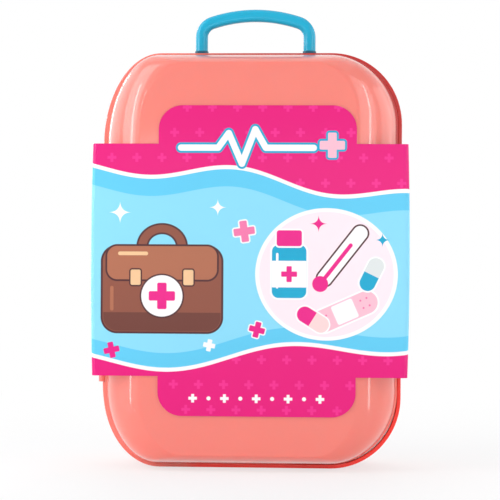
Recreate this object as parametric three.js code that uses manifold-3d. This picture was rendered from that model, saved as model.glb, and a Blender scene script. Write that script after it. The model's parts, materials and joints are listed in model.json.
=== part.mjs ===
// Toy doctor case: two moulded shells with a hinged lid, a side latch and a carry handle on the
// short end, a tray in the base, a basket and a hook rail in the lid, play tools, and the printed
// card sleeve that wraps the shut case. Millimetres, +Z up. The lid faces -Y, the hinges are on
// the -X side, the latch on the +X side, and the case stands on its short end at z = 0.
import * as THREE from 'three';
import { mergeVertices } from 'three/addons/utils/BufferGeometryUtils.js';
import Module from 'manifold-3d';

const wasm = await Module();
wasm.setup();

// Case shells
const caseWidth = 230;
const caseHeight = 320;
const lidDepth = 34;
const baseDepth = 68;
const wall = 2;
const hingeCornerX = 44;
const hingeCornerZ = 60;
const hingeTopCornerZ = 70;
const latchCornerX = 54;
const latchCornerZ = 55;
const seatGap = 0.3;
const rimGap = 0.4;
const overrun = 5;

// Lid
const lidLatchLedge = 3;
const lidTopLedge = 1;
const lidFootLedge = 3.2;
const lidFlange = 4;
const lidLatchFlange = 1.5;
const lidFlangeThick = 2.5;
const crownInset = 31;
const crownEndShare = 0.3;
const crownTurn = THREE.MathUtils.degToRad(72);
const faceHingeCornerX = 36;
const faceHingeCornerZ = 46;
const faceHingeTopCornerZ = 54;
const faceLatchCornerX = 33;
const faceLatchCornerZ = 42;
const notchWidth = 33;
const notchFromCentre = 48;
const notchDepth = 3;
const catchLength = 26;
const catchReach = 1;
const catchRoot = 3.2;
const catchThick = 2.5;

// Base
const bandDepth = 15;
const bandStep = 1.5;
const draftSide = 6;
const draftEnd = 3;
const backFillet = 10;
const rimWall = 3;
const ledgeWidth = 3.5;
const ledgeThick = 2.2;
const footWidth = 26;
const footDepth = 8;
const footFromCentre = 56;
const footFromBack = 14;

// Hinges
const knuckleRadius = 3;
const pinRadius = 1.2;
const hingeOut = 0.3;
const lidKnuckle = 14;
const baseKnuckle = 10;
const hingeFromBottom = 83;
const hingeFromTop = 95;
const lidOpenAngle = THREE.MathUtils.degToRad(110);

// Latch
const latchWidth = 50;
const latchPinBehind = 8;
const latchEar = 5;
const latchRecess = 3.5;
const latchPlate = 2.2;
const latchReach = 9;
const latchLip = 2.2;
const latchRib = 0.5;
const ribStartShare = 0.5;
const latchSweep = 22;

// Carry handle
const handleWidth = 93;
const handleRise = 34.3;
const handleShift = 1.6;
const handleBar = 9.4;
const handleThick = 9;
const handleCrownRadius = 107;
const handleShoulder = 12;
const tenonWidth = 5.6;
const tenonThick = 5;
const barbReach = 1.4;
const barbThick = 2;
const handleBehind = 8;

// Tray
const trayDrop = 1.2;
const trayThick = 2.2;
const basinFromHinge = 87;
const basinFromLatch = 59;
const basinBottom = 30;
const basinFromTop = 58;
const basinDepth = 30;
const basinDraft = 3;
const basinCorner = 14;

// Basket in the lid
const basketLength = 86;
const basketTall = 52;
const basketToTray = 5.2;
const basketWall = 1.8;
const basketTaper = 4;
const basketCorner = 5;
const basketLip = 2.5;
const basketLipThick = 2.5;
const basketFromLatch = 51;
const basketBottom = 40;
const slotWidth = 15;
const slotTall = 24;
const slotPitch = 23;
const sideHole = 4;
const peg = 2.4;

// Hook rail in the lid
const railLength = 90;
const railWidth = 13;
const railThick = 2.4;
const railFromLatch = 54;
const railFromTop = 42;
const hookCount = 4;
const hookWidth = 6;
const hookThick = 2.6;
const hookReach = 9;
const hookRise = 9;

// Card sleeve
const card = 0.6;
const cardGap = 0.4;
const bandBottom = 72.5;
const bandFromTop = 72;
const panelWidth = 149.4;
const panelShift = 5.7;
const panelBottom = 42.5;
const panelFromTop = 43;
const panelCorner = 18.2;
const foldRadius = 3;
const windowSpare = 5;
const breakClear = 1;

// Scissors
const scissorsFromLatch = 43;
const scissorsAboveMiddle = 46;
const bladeThick = 2.6;
const bladeLength = 54;
const bladeHalf = 5;
const loopRadius = 11;
const loopHole = 7.4;
const loopDrop = 45;
const loopOut = 11.3;
const rivetRadius = 2;
const rivetHead = 4;
const rivetCap = 1.4;

// Syringe
const syringeFromHinge = 41;
const syringeFromTop = 52;
const barrelRadius = 9.5;
const barrelWall = 1.5;
const barrelFlange = 16;
const barrelFlangeThick = 2.4;
const nozzleRadius = 2.6;
const nozzleLength = 9;
const nozzleToBack = 7.8;
const thumbToLid = 3.6;
const plungerRod = 3;
const thumbRadius = 9;
const thumbThick = 2.6;
const sealHeight = 5;

// Scalpel and tweezers
const scalpelLength = 104;
const scalpelWidth = 9;
const scalpelThick = 5;
const scalpelBladeLength = 30;
const tweezersLength = 100;
const tweezersWidth = 17;
const tweezersArm = 3.4;
const tweezersThick = 8;

// Play monitor
const monitorFromHinge = 49;
const monitorBelowMiddle = 10;
const monitorWidth = 52;
const monitorTall = 72;
const monitorThick = 15;
const monitorFoot = 64;
const monitorFootTall = 18;
const monitorFootThick = 20;
const monitorCorner = 6;
const screenWidth = 40;
const screenTall = 34;
const screenThick = 1.6;
const knobRadius = 6;
const knobTall = 5;
const knobShaft = 2;

// Dropper bottle
const bottleFromHinge = 37;
const bottleBottom = 44;
const bottleRadius = 12.5;
const bottleTall = 30;
const bottleNeck = 7;
const capRadius = 9.5;
const capTall = 20;
const capTip = 3.4;

// Planes that the pieces share
const frontY = -(lidDepth + baseDepth) / 2;
const partY = frontY + lidDepth;
const backY = partY + baseDepth;
const lidInnerY = frontY + wall;
const trayTopY = partY + trayDrop;
const trayUnderY = trayTopY + trayThick;
const ledgeDrop = trayDrop + trayThick + seatGap;
const basinFloorY = trayTopY + basinDepth;
const hingeX = -caseWidth / 2 - hingeOut;
const latchX = caseWidth / 2;
const middleZ = caseHeight / 2;
const boreRadius = pinRadius + seatGap;

// Places of the pieces inside, taken from the sides of the case that they lie along
const hingeEdge = -caseWidth / 2;
const latchEdge = caseWidth / 2;
const basinLeft = hingeEdge + basinFromHinge;
const basinRight = latchEdge - basinFromLatch;
const basinTop = caseHeight - basinFromTop;
const basketLeft = latchEdge - basketFromLatch - basketTall;
const basketDepth = lidDepth - wall - seatGap - basketLip - basketToTray;
const railLeft = latchEdge - railFromLatch - railWidth;
const railBottom = caseHeight - railFromTop - railLength;
const bandTop = caseHeight - bandFromTop;
const panelTop = caseHeight - panelFromTop;
const scissorsX = latchEdge - scissorsFromLatch;
const scissorsZ = middleZ + scissorsAboveMiddle;
const syringeX = hingeEdge + syringeFromHinge;
const syringeZ = caseHeight - syringeFromTop;
const barrelLength = baseDepth - wall - trayDrop - nozzleLength - nozzleToBack;
const aboveFlange = lidDepth - wall + trayDrop - 2 * seatGap - barrelFlangeThick;
const plungerOut = aboveFlange - thumbThick - thumbToLid;
const monitorX = hingeEdge + monitorFromHinge;
const monitorZ = middleZ - monitorBelowMiddle;
const bottleX = hingeEdge + bottleFromHinge;

// Materials
const paint = (color, roughness, extra = {}) => new THREE.MeshStandardMaterial({
  color, roughness, metalness: 0, ...extra,
});
const salmon = '#fb9f95';
const turquoise = '#07abd0';
const magenta = '#e81488';
const darkMagenta = '#be1464';
const pink = '#f05aaa';
const white = '#f4f4f2';

// Facet counts
const cornerSteps = 8;
const crownSteps = 5;
const filletSteps = 4;
const roundSteps = 20;
const smallRound = 12;

// Solids to and from the boolean library
function solid(geometry) {
  const bare = geometry.clone();
  bare.deleteAttribute('normal');
  bare.deleteAttribute('uv');
  const merged = mergeVertices(bare);
  return new wasm.Manifold(new wasm.Mesh({
    numProp: 3,
    vertProperties: new Float32Array(merged.attributes.position.array),
    triVerts: new Uint32Array(merged.index.array),
  }));
}

function geometryOf(body) {
  const mesh = body.getMesh();
  const geometry = new THREE.BufferGeometry();
  geometry.setAttribute('position', new THREE.Float32BufferAttribute(mesh.vertProperties, 3));
  geometry.setIndex(Array.from(mesh.triVerts));
  geometry.computeVertexNormals();
  return geometry;
}

const join = (first, ...rest) => rest.reduce((sum, next) => sum.add(solid(next)), solid(first));
const cut = (body, ...tools) => tools.reduce((left, tool) => left.subtract(solid(tool)), body);

// A closed body through rings of equally many points, capped at both ends
function loft(rings) {
  const count = rings[0].length;
  const points = rings.flat();
  const index = [];
  for (let ring = 0; ring + 1 < rings.length; ring += 1) {
    for (let i = 0; i < count; i += 1) {
      const a = ring * count + i;
      const b = ring * count + (i + 1) % count;
      index.push(a, b, b + count, a, b + count, a + count);
    }
  }
  for (const [ring, flip] of [[0, true], [rings.length - 1, false]]) {
    const centre = points.length;
    const sum = rings[ring].reduce((total, point) => total.map((value, k) => value + point[k]));
    points.push(sum.map((value) => value / count));
    for (let i = 0; i < count; i += 1) {
      const a = ring * count + i;
      const b = ring * count + (i + 1) % count;
      index.push(...(flip ? [b, a, centre] : [a, b, centre]));
    }
  }
  let volume = 0;
  for (let i = 0; i < index.length; i += 3) {
    const [a, b, c] = [0, 1, 2].map((k) => new THREE.Vector3(...points[index[i + k]]));
    volume += a.dot(b.cross(c));
  }
  if (volume < 0) index.reverse();
  const geometry = new THREE.BufferGeometry();
  geometry.setAttribute('position', new THREE.Float32BufferAttribute(points.flat(), 3));
  geometry.setIndex(index);
  return geometry;
}

// Simple solids between two corners, or round an axis
function block(low, high) {
  const size = high.map((value, k) => value - low[k]);
  const centre = high.map((value, k) => (value + low[k]) / 2);
  return new THREE.BoxGeometry(...size).translate(...centre);
}

function rod(axis, radius, from, to, steps = smallRound) {
  const start = new THREE.Vector3(...from);
  const end = start.clone().setComponent('xyz'.indexOf(axis), to);
  const geometry = new THREE.CylinderGeometry(radius, radius, start.distanceTo(end), steps);
  if (axis === 'x') geometry.rotateZ(Math.PI / 2);
  if (axis === 'z') geometry.rotateX(Math.PI / 2);
  const middle = start.add(end).divideScalar(2);
  return geometry.translate(middle.x, middle.y, middle.z);
}

// An outline drawn in x and z, made solid from yBack forwards by its thickness
function plate(shape, yBack, thick, curveSegments = cornerSteps) {
  const flat = new THREE.ExtrudeGeometry(shape, { depth: thick, bevelEnabled: false, curveSegments });
  return flat.rotateX(Math.PI / 2).translate(0, yBack, 0);
}

function roundedShape(left, right, bottom, top, corner) {
  const shape = new THREE.Shape();
  shape.moveTo(left + corner, bottom);
  shape.lineTo(right - corner, bottom);
  shape.absarc(right - corner, bottom + corner, corner, -Math.PI / 2, 0);
  shape.lineTo(right, top - corner);
  shape.absarc(right - corner, top - corner, corner, 0, Math.PI / 2);
  shape.lineTo(left + corner, top);
  shape.absarc(left + corner, top - corner, corner, Math.PI / 2, Math.PI);
  shape.lineTo(left, bottom + corner);
  shape.absarc(left + corner, bottom + corner, corner, Math.PI, 1.5 * Math.PI);
  return shape;
}

// Four rounded corners as [u, v] points, counter-clockwise from the lower right
function cornerPoints(left, right, bottom, top, corners) {
  const centres = [
    [right - corners.rightU, bottom + corners.rightV, corners.rightU, corners.rightV],
    [right - corners.rightU, top - corners.rightV, corners.rightU, corners.rightV],
    [left + corners.leftU, top - corners.topLeftV, corners.leftU, corners.topLeftV],
    [left + corners.leftU, bottom + corners.leftV, corners.leftU, corners.leftV],
  ];
  const points = [];
  centres.forEach(([u, v, radiusU, radiusV], quarter) => {
    for (let step = 0; step <= cornerSteps; step += 1) {
      const angle = (quarter - 1 + step / cornerSteps) * Math.PI / 2;
      points.push([u + radiusU * Math.cos(angle), v + radiusV * Math.sin(angle)]);
    }
  });
  return points;
}

// The case outline at a plane y, drawn in by an inset on each side
const rimCorners = {
  leftU: hingeCornerX,
  leftV: hingeCornerZ,
  topLeftV: hingeTopCornerZ,
  rightU: latchCornerX,
  rightV: latchCornerZ,
};
const faceCorners = {
  leftU: faceHingeCornerX,
  leftV: faceHingeCornerZ,
  topLeftV: faceHingeTopCornerZ,
  rightU: faceLatchCornerX,
  rightV: faceLatchCornerZ,
};

function caseRing(y, inset, corners) {
  const left = -caseWidth / 2 + inset.hinge;
  const right = caseWidth / 2 - inset.latch;
  const points = cornerPoints(left, right, inset.foot, caseHeight - inset.top, corners);
  return points.map(([x, z]) => [x, y, z]);
}

function drawnIn(corners, side, end, latchSide = side) {
  return {
    leftU: corners.leftU - side,
    leftV: corners.leftV - end,
    topLeftV: corners.topLeftV - end,
    rightU: corners.rightU - latchSide,
    rightV: corners.rightV - end,
  };
}

function blend(from, to, share) {
  const mixed = {};
  for (const key of Object.keys(from)) mixed[key] = from[key] + (to[key] - from[key]) * share;
  return mixed;
}

// Lid rings: side is the inset from the lid's own edge on the long sides
function lidRing(y, side, latchSide, end, crownShare = 0) {
  const inset = {
    hinge: side,
    latch: lidLatchLedge + latchSide,
    foot: lidFootLedge + end,
    top: lidTopLedge + end,
  };
  const corners = blend(drawnIn(rimCorners, side, end, latchSide), faceCorners, crownShare);
  return caseRing(y, inset, corners);
}

function crownRing(turn, thickness) {
  const acrossShare = (1 - Math.cos(turn)) / (1 - Math.cos(crownTurn));
  const upShare = Math.sin(turn) / Math.sin(crownTurn);
  const side = lidFlange + (crownInset - lidFlange) * acrossShare;
  const latchSide = lidLatchFlange + (crownInset - lidLatchFlange) * acrossShare;
  const depth = lidFlangeThick + (lidDepth - thickness - lidFlangeThick) * upShare;
  return lidRing(
    partY - depth, side + thickness, latchSide + thickness, side * crownEndShare + thickness, acrossShare,
  );
}

// The lid's and the base's share of the hinges, at each hinge's middle height
const hingeHeights = [hingeFromBottom, caseHeight - hingeFromTop];
const knuckleEnd = lidKnuckle / 2 + seatGap;

function lidShell() {
  const outer = [];
  const inner = [];
  for (let step = 0; step <= crownSteps; step += 1) {
    outer.unshift(crownRing(crownTurn * step / crownSteps, 0));
    inner.push(crownRing(crownTurn * step / crownSteps, wall));
  }
  const rimY = partY - rimGap;
  const edge = [lidRing(partY - lidFlangeThick, 0, 0, 0), lidRing(rimY, 0, 0, 0)];
  const rim = lidRing(rimY, lidFlange + wall, lidLatchFlange + wall, lidFlange * crownEndShare + wall);
  let shell = solid(loft([...outer, ...edge, rim, ...inner]));
  for (const z of hingeHeights) {
    const start = [hingeX, partY, z - lidKnuckle / 2];
    shell = shell.add(solid(rod('z', knuckleRadius, start, z + lidKnuckle / 2)));
    shell = cut(
      shell,
      rod('z', boreRadius, [hingeX, partY, z - lidKnuckle], z + lidKnuckle),
      ...baseKnuckleSpans(z).map(([low, high]) => rod(
        'z', knuckleRadius + seatGap, [hingeX, partY, low - seatGap], high + seatGap,
      )),
    );
  }
  const lidEdgeX = caseWidth / 2 - lidLatchLedge;
  shell = shell.add(solid(block(
    [lidEdgeX - catchRoot, partY - lidFlangeThick - catchThick, middleZ - catchLength / 2],
    [lidEdgeX + catchReach, partY - rimGap, middleZ + catchLength / 2],
  )));
  for (const [x, z] of lidPegs()) {
    shell = shell.add(solid(rod('y', peg, [x, frontY + wall / 2, z], lidInnerY + pegHeight)));
  }
  return geometryOf(cut(shell, block(
    [notchFromCentre - notchWidth / 2, partY - lidFlangeThick - seatGap, -overrun],
    [notchFromCentre + notchWidth / 2, partY + overrun, lidFootLedge + notchDepth],
  )));
}

function baseKnuckleSpans(z) {
  return [
    [z - knuckleEnd - baseKnuckle, z - knuckleEnd],
    [z + knuckleEnd, z + knuckleEnd + baseKnuckle],
  ];
}

// Base rings: depth is measured back from the parting plane
function baseRing(depth, side, end) {
  const inset = { hinge: side, latch: side, foot: end, top: end };
  return caseRing(partY + depth, inset, drawnIn(rimCorners, side, end));
}

const filletTop = baseDepth - backFillet;

function baseEndInset(depth) {
  return bandStep + draftEnd * (depth - bandDepth) / (filletTop - bandDepth);
}

function baseFillet(thickness) {
  const rings = [];
  for (let step = 0; step <= filletSteps; step += 1) {
    const angle = step / filletSteps * Math.PI / 2;
    const radius = backFillet - thickness;
    const inset = bandStep + thickness + radius * (1 - Math.cos(angle));
    rings.push(baseRing(filletTop + radius * Math.sin(angle), inset + draftSide, inset + draftEnd));
  }
  return rings;
}

function baseShell() {
  const ledgeIn = rimWall + ledgeWidth;
  const ledgeUnder = ledgeDrop + ledgeThick;
  const lowIn = bandStep + wall;
  let shell = solid(loft([
    ...baseFillet(0).reverse(),
    baseRing(bandDepth + bandStep, bandStep, bandStep),
    baseRing(bandDepth, 0, 0),
    baseRing(0, 0, 0),
    baseRing(0, rimWall, rimWall),
    baseRing(ledgeDrop, rimWall, rimWall),
    baseRing(ledgeDrop, ledgeIn, ledgeIn),
    baseRing(ledgeUnder, ledgeIn, ledgeIn),
    baseRing(ledgeUnder + ledgeWidth, lowIn, lowIn),
    ...baseFillet(wall),
  ]));
  const footY = backY - footFromBack;
  const footTop = baseEndInset(baseDepth - footFromBack) + wall / 2;
  for (const side of [-1, 1]) {
    const x = side * footFromCentre;
    shell = shell.add(solid(block(
      [x - footWidth / 2, footY - footDepth / 2, 0],
      [x + footWidth / 2, footY + footDepth / 2, footTop],
    )));
  }
  const latchEnds = latchWidth / 2 + seatGap;
  shell = shell.add(solid(block(
    [latchX - latchRecess - wall, partY + ledgeUnder, middleZ - latchEnds - wall],
    [latchX - bandStep - wall / 2, partY + bandDepth + bandStep + wall, middleZ + latchEnds + wall],
  )));
  shell = shell.subtract(solid(block(
    [latchX - latchRecess, partY - overrun, middleZ - latchEnds],
    [latchX + overrun, partY + bandDepth + bandStep, middleZ + latchEnds],
  )));
  const latchPin = [latchX, partY + latchPinBehind];
  for (const side of [-1, 1]) {
    const near = middleZ + side * latchEnds;
    shell = shell.add(solid(rod('z', knuckleRadius, [...latchPin, near], near + side * latchEar, roundSteps)));
  }
  for (const z of hingeHeights) {
    shell = shell.subtract(solid(rod(
      'z', knuckleRadius + seatGap, [hingeX, partY, z - knuckleEnd], z + knuckleEnd,
    )));
    for (const [low, high] of baseKnuckleSpans(z)) {
      shell = shell.add(solid(rod('z', knuckleRadius, [hingeX, partY, low], high)));
    }
    const reach = knuckleEnd + baseKnuckle + seatGap;
    shell = shell.subtract(solid(rod('z', boreRadius, [hingeX, partY, z - reach], z + reach)));
  }
  const latchBore = latchEnds + latchEar + seatGap;
  const cuts = [rod('z', boreRadius, [...latchPin, middleZ - latchBore], middleZ + latchBore)];
  const handleY = partY + handleBehind;
  for (const side of [-1, 1]) {
    const x = handleShift + side * (handleWidth - handleBar) / 2;
    const halfWidth = tenonWidth / 2 + seatGap;
    const halfThick = tenonThick / 2 + seatGap;
    cuts.push(block(
      [x - halfWidth, handleY - halfThick, caseHeight - rimWall - ledgeWidth - overrun],
      [x + halfWidth, handleY + halfThick, caseHeight + overrun],
    ));
  }
  return geometryOf(cut(shell, ...cuts));
}

// The handle's centre line: straight legs, rounded shoulders and a shallow crown
function handlePath() {
  const legX = (handleWidth - handleBar) / 2;
  const topZ = caseHeight + handleRise - handleBar / 2;
  const crownCentreZ = topZ - handleCrownRadius;
  const shoulderX = legX - handleShoulder;
  const inner = handleCrownRadius - handleShoulder;
  const shoulderZ = crownCentreZ + Math.sqrt(inner ** 2 - shoulderX ** 2);
  const lean = Math.asin(shoulderX / inner);
  const points = [[legX, caseHeight + seatGap]];
  const shoulderSteps = 7;
  for (let step = 0; step <= shoulderSteps; step += 1) {
    const angle = (Math.PI / 2 - lean) * step / shoulderSteps;
    points.push([
      shoulderX + handleShoulder * Math.cos(angle), shoulderZ + handleShoulder * Math.sin(angle),
    ]);
  }
  const crownStepsHalf = 4;
  for (let step = 1; step <= crownStepsHalf; step += 1) {
    const angle = lean * (1 - step / crownStepsHalf);
    points.push([
      handleCrownRadius * Math.sin(angle), crownCentreZ + handleCrownRadius * Math.cos(angle),
    ]);
  }
  const mirrored = points.slice(0, -1).reverse().map(([x, z]) => [-x, z]);
  return [...points, ...mirrored];
}

// A section swept along a path in the x-z plane
function sweep(path, y, halfAcross, halfThick, corner) {
  const steps = 2;
  const section = [];
  for (let quarter = 0; quarter < 4; quarter += 1) {
    for (let step = 0; step <= steps; step += 1) {
      const angle = (quarter + step / steps) * Math.PI / 2;
      const signU = quarter === 0 || quarter === 3 ? 1 : -1;
      const signV = quarter < 2 ? 1 : -1;
      section.push([
        signU * (halfAcross - corner) + corner * Math.cos(angle),
        signV * (halfThick - corner) + corner * Math.sin(angle),
      ]);
    }
  }
  const rings = path.map(([x, z], i) => {
    const [beforeX, beforeZ] = path[Math.max(i - 1, 0)];
    const [afterX, afterZ] = path[Math.min(i + 1, path.length - 1)];
    const length = Math.hypot(afterX - beforeX, afterZ - beforeZ);
    const acrossX = (afterZ - beforeZ) / length;
    const acrossZ = -(afterX - beforeX) / length;
    return section.map(([u, v]) => [x + acrossX * u, y + v, z + acrossZ * u]);
  });
  return loft(rings);
}

function carryHandle() {
  const y = partY + handleBehind;
  const corner = handleThick / 3;
  const path = handlePath().map(([x, z]) => [handleShift + x, z]);
  let body = solid(sweep(path, y, handleBar / 2, handleThick / 2, corner));
  const wallInside = caseHeight - rimWall - ledgeWidth;
  for (const side of [-1, 1]) {
    const x = handleShift + side * (handleWidth - handleBar) / 2;
    const barbTop = wallInside - seatGap;
    body = body.add(solid(block(
      [x - tenonWidth / 2, y - tenonThick / 2, barbTop - barbThick],
      [x + tenonWidth / 2, y + tenonThick / 2, caseHeight + handleBar],
    )));
    body = body.add(solid(block(
      [x - tenonWidth / 2 - barbReach, y - tenonThick / 2, barbTop - barbThick],
      [x + tenonWidth / 2 + barbReach, y + tenonThick / 2, barbTop],
    )));
  }
  return geometryOf(body);
}

function hingePin(z) {
  const reach = knuckleEnd + baseKnuckle;
  return rod('z', pinRadius, [hingeX, partY, z - reach], z + reach);
}

function latchPinRod() {
  const reach = latchWidth / 2 + seatGap + latchEar;
  return rod('z', pinRadius, [latchX, partY + latchPinBehind, middleZ - reach], middleZ + reach);
}

// The latch lever's section in x and y: a knuckle, a ribbed plate and the lip over the catch
function latchLever() {
  const pinY = partY + latchPinBehind;
  const outX = latchX + knuckleRadius - latchRib;
  const inX = outX - latchPlate;
  const tipY = partY - latchReach;
  const lipX = latchX - lidLatchLedge + catchReach + rimGap;
  const turn = Math.asin((inX - latchX) / knuckleRadius);
  const shape = new THREE.Shape();
  shape.moveTo(inX, tipY + latchLip);
  shape.lineTo(lipX, tipY + latchLip);
  shape.lineTo(lipX, tipY);
  shape.lineTo(outX - latchLip / 2, tipY);
  shape.lineTo(outX, tipY + latchLip / 2);
  const ribCount = 3;
  const ribPitch = latchLip;
  for (let rib = 0; rib < ribCount; rib += 1) {
    const ribY = tipY + latchLip / 2 + (rib + ribStartShare) * ribPitch;
    shape.lineTo(outX, ribY);
    shape.lineTo(outX + latchRib, ribY + ribPitch / 4);
    shape.lineTo(outX, ribY + ribPitch / 2);
  }
  shape.lineTo(outX, pinY);
  const kneeSteps = 12;
  const start = Math.acos((outX - latchX) / knuckleRadius);
  const sweepAngle = 1.5 * Math.PI + turn - start;
  for (let step = 0; step <= kneeSteps; step += 1) {
    const angle = start + sweepAngle * step / kneeSteps;
    shape.lineTo(latchX + knuckleRadius * Math.cos(angle), pinY + knuckleRadius * Math.sin(angle));
  }
  const bore = new THREE.Path();
  bore.absarc(latchX, pinY, boreRadius, 0, 2 * Math.PI, true);
  shape.holes.push(bore);
  const body = new THREE.ExtrudeGeometry(shape, {
    depth: latchWidth, bevelEnabled: false, curveSegments: smallRound / 2,
  });
  return body.translate(0, 0, middleZ - latchWidth / 2);
}

// Rounded rings for the basin, wide at the top and drawn in towards the floor
function basinRing(y, grow) {
  const points = cornerPoints(
    basinLeft - grow, basinRight + grow, basinBottom - grow, basinTop + grow,
    {
      leftU: basinCorner + grow, leftV: basinCorner + grow, topLeftV: basinCorner + grow,
      rightU: basinCorner + grow, rightV: basinCorner + grow,
    },
  );
  return points.map(([x, z]) => [x, y, z]);
}

function tray() {
  const edge = rimWall + rimGap;
  const plateTop = baseRing(trayDrop, edge, edge);
  const plateUnder = baseRing(trayDrop + trayThick, edge, edge);
  const outer = loft([
    basinRing(trayTopY + trayThick / 2, trayThick),
    basinRing(basinFloorY + trayThick, trayThick - basinDraft),
  ]);
  const inner = loft([
    basinRing(trayTopY - overrun, basinDraft * overrun / basinDepth),
    basinRing(basinFloorY, -basinDraft),
  ]);
  const collar = barrelRadius + seatGap;
  const collarWall = rod(
    'y', collar + trayThick, [syringeX, trayTopY + trayThick / 2, syringeZ],
    trayUnderY + nozzleLength, roundSteps,
  );
  const body = join(loft([plateTop, plateUnder]), outer, collarWall);
  return geometryOf(cut(
    body,
    inner,
    rod('y', collar, [syringeX, trayTopY - overrun, syringeZ], trayUnderY + barrelLength, roundSteps),
  ));
}

// Pegs on the lid's inner face that hold the basket and the hook rail
const pegHeight = railThick + seatGap;

function basketPegs() {
  const x = basketLeft + basketTall / 2;
  return [-1, 1].map((side) => [x, basketBottom + basketLength / 2 + side * basketLength / 4]);
}

function railPegs() {
  const x = railLeft + railWidth / 2;
  return [-1, 1].map((side) => [x, railBottom + railLength / 2 + side * railLength / 2.5]);
}

function lidPegs() {
  return [...basketPegs(), ...railPegs()];
}

// The basket opens towards the latch side, which is up when the lid stands open
function basketRing(x, shrink, grow) {
  const backY0 = lidInnerY + seatGap - grow;
  const points = cornerPoints(
    basketBottom + shrink - grow, basketBottom + basketLength - shrink + grow,
    backY0, lidInnerY + seatGap + basketDepth - shrink / 2 + grow,
    {
      leftU: basketCorner, leftV: basketCorner, topLeftV: basketCorner,
      rightU: basketCorner, rightV: basketCorner,
    },
  );
  return points.map(([z, y]) => [x, y, z]);
}

function basket() {
  const topX = basketLeft + basketTall;
  const inside = loft([
    basketRing(basketLeft + basketWall, basketTaper, -basketWall),
    basketRing(topX + overrun, -basketTaper * overrun / basketTall, -basketWall),
  ]);
  const lipZ = [basketBottom - basketLip, basketBottom + basketLength + basketLip];
  const frontOfBasket = lidInnerY + seatGap + basketDepth;
  const lip = block(
    [topX - basketLipThick, lidInnerY + seatGap, lipZ[0]],
    [topX, frontOfBasket + basketLip, lipZ[1]],
  );
  const cuts = [inside];
  const slotX = basketLeft + basketTall * 0.2;
  for (const step of [-1, 0, 1]) {
    const z = basketBottom + basketLength / 2 + step * slotPitch;
    const near = frontOfBasket - basketTaper - basketWall;
    cuts.push(block(
      [slotX, near, z - slotWidth / 2],
      [slotX + slotTall - slotWidth / 2, frontOfBasket + overrun, z + slotWidth / 2],
    ));
    cuts.push(rod(
      'y', slotWidth / 2, [slotX + slotTall - slotWidth / 2, near, z], frontOfBasket + overrun, roundSteps,
    ));
  }
  for (const share of [0.35, 0.65]) {
    cuts.push(rod(
      'z', sideHole,
      [basketLeft + basketTall * share, lidInnerY + seatGap + basketDepth / 2, basketBottom - overrun],
      basketBottom + basketLength + overrun,
    ));
  }
  for (const [x, z] of basketPegs()) {
    cuts.push(rod('y', peg + seatGap, [x, frontY, z], lidInnerY + pegHeight + overrun));
  }
  const box = loft([basketRing(basketLeft, basketTaper, 0), basketRing(topX, 0, 0)]);
  return geometryOf(cut(join(box, lip), ...cuts));
}

// A strip with rising hooks; each hook's outline is drawn in x and y and is hookWidth long
function hookRail() {
  const backFace = lidInnerY + seatGap;
  const strip = block(
    [railLeft, backFace, railBottom],
    [railLeft + railWidth, backFace + railThick, railBottom + railLength],
  );
  const shape = new THREE.Shape();
  const rootX = railLeft + hookThick / 2;
  const tipY = backFace + railThick + hookReach;
  shape.moveTo(rootX, backFace + railThick / 2);
  shape.lineTo(rootX, tipY - hookThick);
  shape.quadraticCurveTo(rootX, tipY, rootX + hookThick, tipY);
  shape.lineTo(rootX + hookRise, tipY);
  shape.lineTo(rootX + hookRise + hookThick / 2, tipY - hookThick / 2);
  shape.lineTo(rootX + hookRise, tipY - hookThick);
  shape.lineTo(rootX + hookThick * 1.5, tipY - hookThick);
  shape.quadraticCurveTo(rootX + hookThick, tipY - hookThick, rootX + hookThick, tipY - hookThick * 1.5);
  shape.lineTo(rootX + hookThick, backFace + railThick / 2);
  const hooks = [];
  for (let hook = 0; hook < hookCount; hook += 1) {
    const z = railBottom + railLength * (hook + 0.5) / hookCount;
    const body = new THREE.ExtrudeGeometry(shape, {
      depth: hookWidth, bevelEnabled: false, curveSegments: filletSteps,
    });
    hooks.push(body.translate(0, 0, z - hookWidth / 2));
  }
  const holes = railPegs().map(([x, z]) => rod(
    'y', peg + seatGap, [x, frontY, z], backFace + railThick + overrun,
  ));
  return geometryOf(cut(join(strip, ...hooks), ...holes));
}

// The sleeve is one folded card; it parts where the shells part, so that the lid can open
const sleeveHalf = latchX + knuckleRadius + seatGap * 2;
const cardFrontY = frontY - cardGap;
const cardBackY = backY + cardGap;
const hingeSide = sleeveHalf + card + hingeX;
const sleeveBreak = (hingeSide * (1 - Math.cos(lidOpenAngle)) + breakClear) / Math.sin(lidOpenAngle);

function wrap(faceY, direction, hingeEndY, latchEndY) {
  const shape = new THREE.Shape();
  const outer = sleeveHalf + card;
  const outY = faceY + direction * card;
  const bendOut = foldRadius + card;
  const arc = (cx, cy, radius, from, to) => {
    const steps = filletSteps;
    for (let step = 0; step <= steps; step += 1) {
      const angle = (from + (to - from) * step / steps) * Math.PI / 2;
      shape.lineTo(cx + radius * Math.cos(angle), cy + direction * radius * Math.sin(angle));
    }
  };
  shape.moveTo(-outer, hingeEndY);
  arc(-outer + bendOut, outY - direction * bendOut, bendOut, 2, 1);
  arc(outer - bendOut, outY - direction * bendOut, bendOut, 1, 0);
  shape.lineTo(outer, latchEndY);
  shape.lineTo(sleeveHalf, latchEndY);
  arc(sleeveHalf - foldRadius, faceY - direction * foldRadius, foldRadius, 0, 1);
  arc(-sleeveHalf + foldRadius, faceY - direction * foldRadius, foldRadius, 1, 2);
  shape.lineTo(-sleeveHalf, hingeEndY);
  const body = new THREE.ExtrudeGeometry(shape, { depth: bandTop - bandBottom, bevelEnabled: false });
  return body.translate(0, 0, bandBottom);
}

function latchWindow() {
  const half = latchWidth / 2 + latchEar + windowSpare;
  return block(
    [sleeveHalf - overrun, partY - latchReach - windowSpare, middleZ - half],
    [sleeveHalf + overrun, partY + latchPinBehind + latchSweep, middleZ + half],
  );
}

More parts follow.
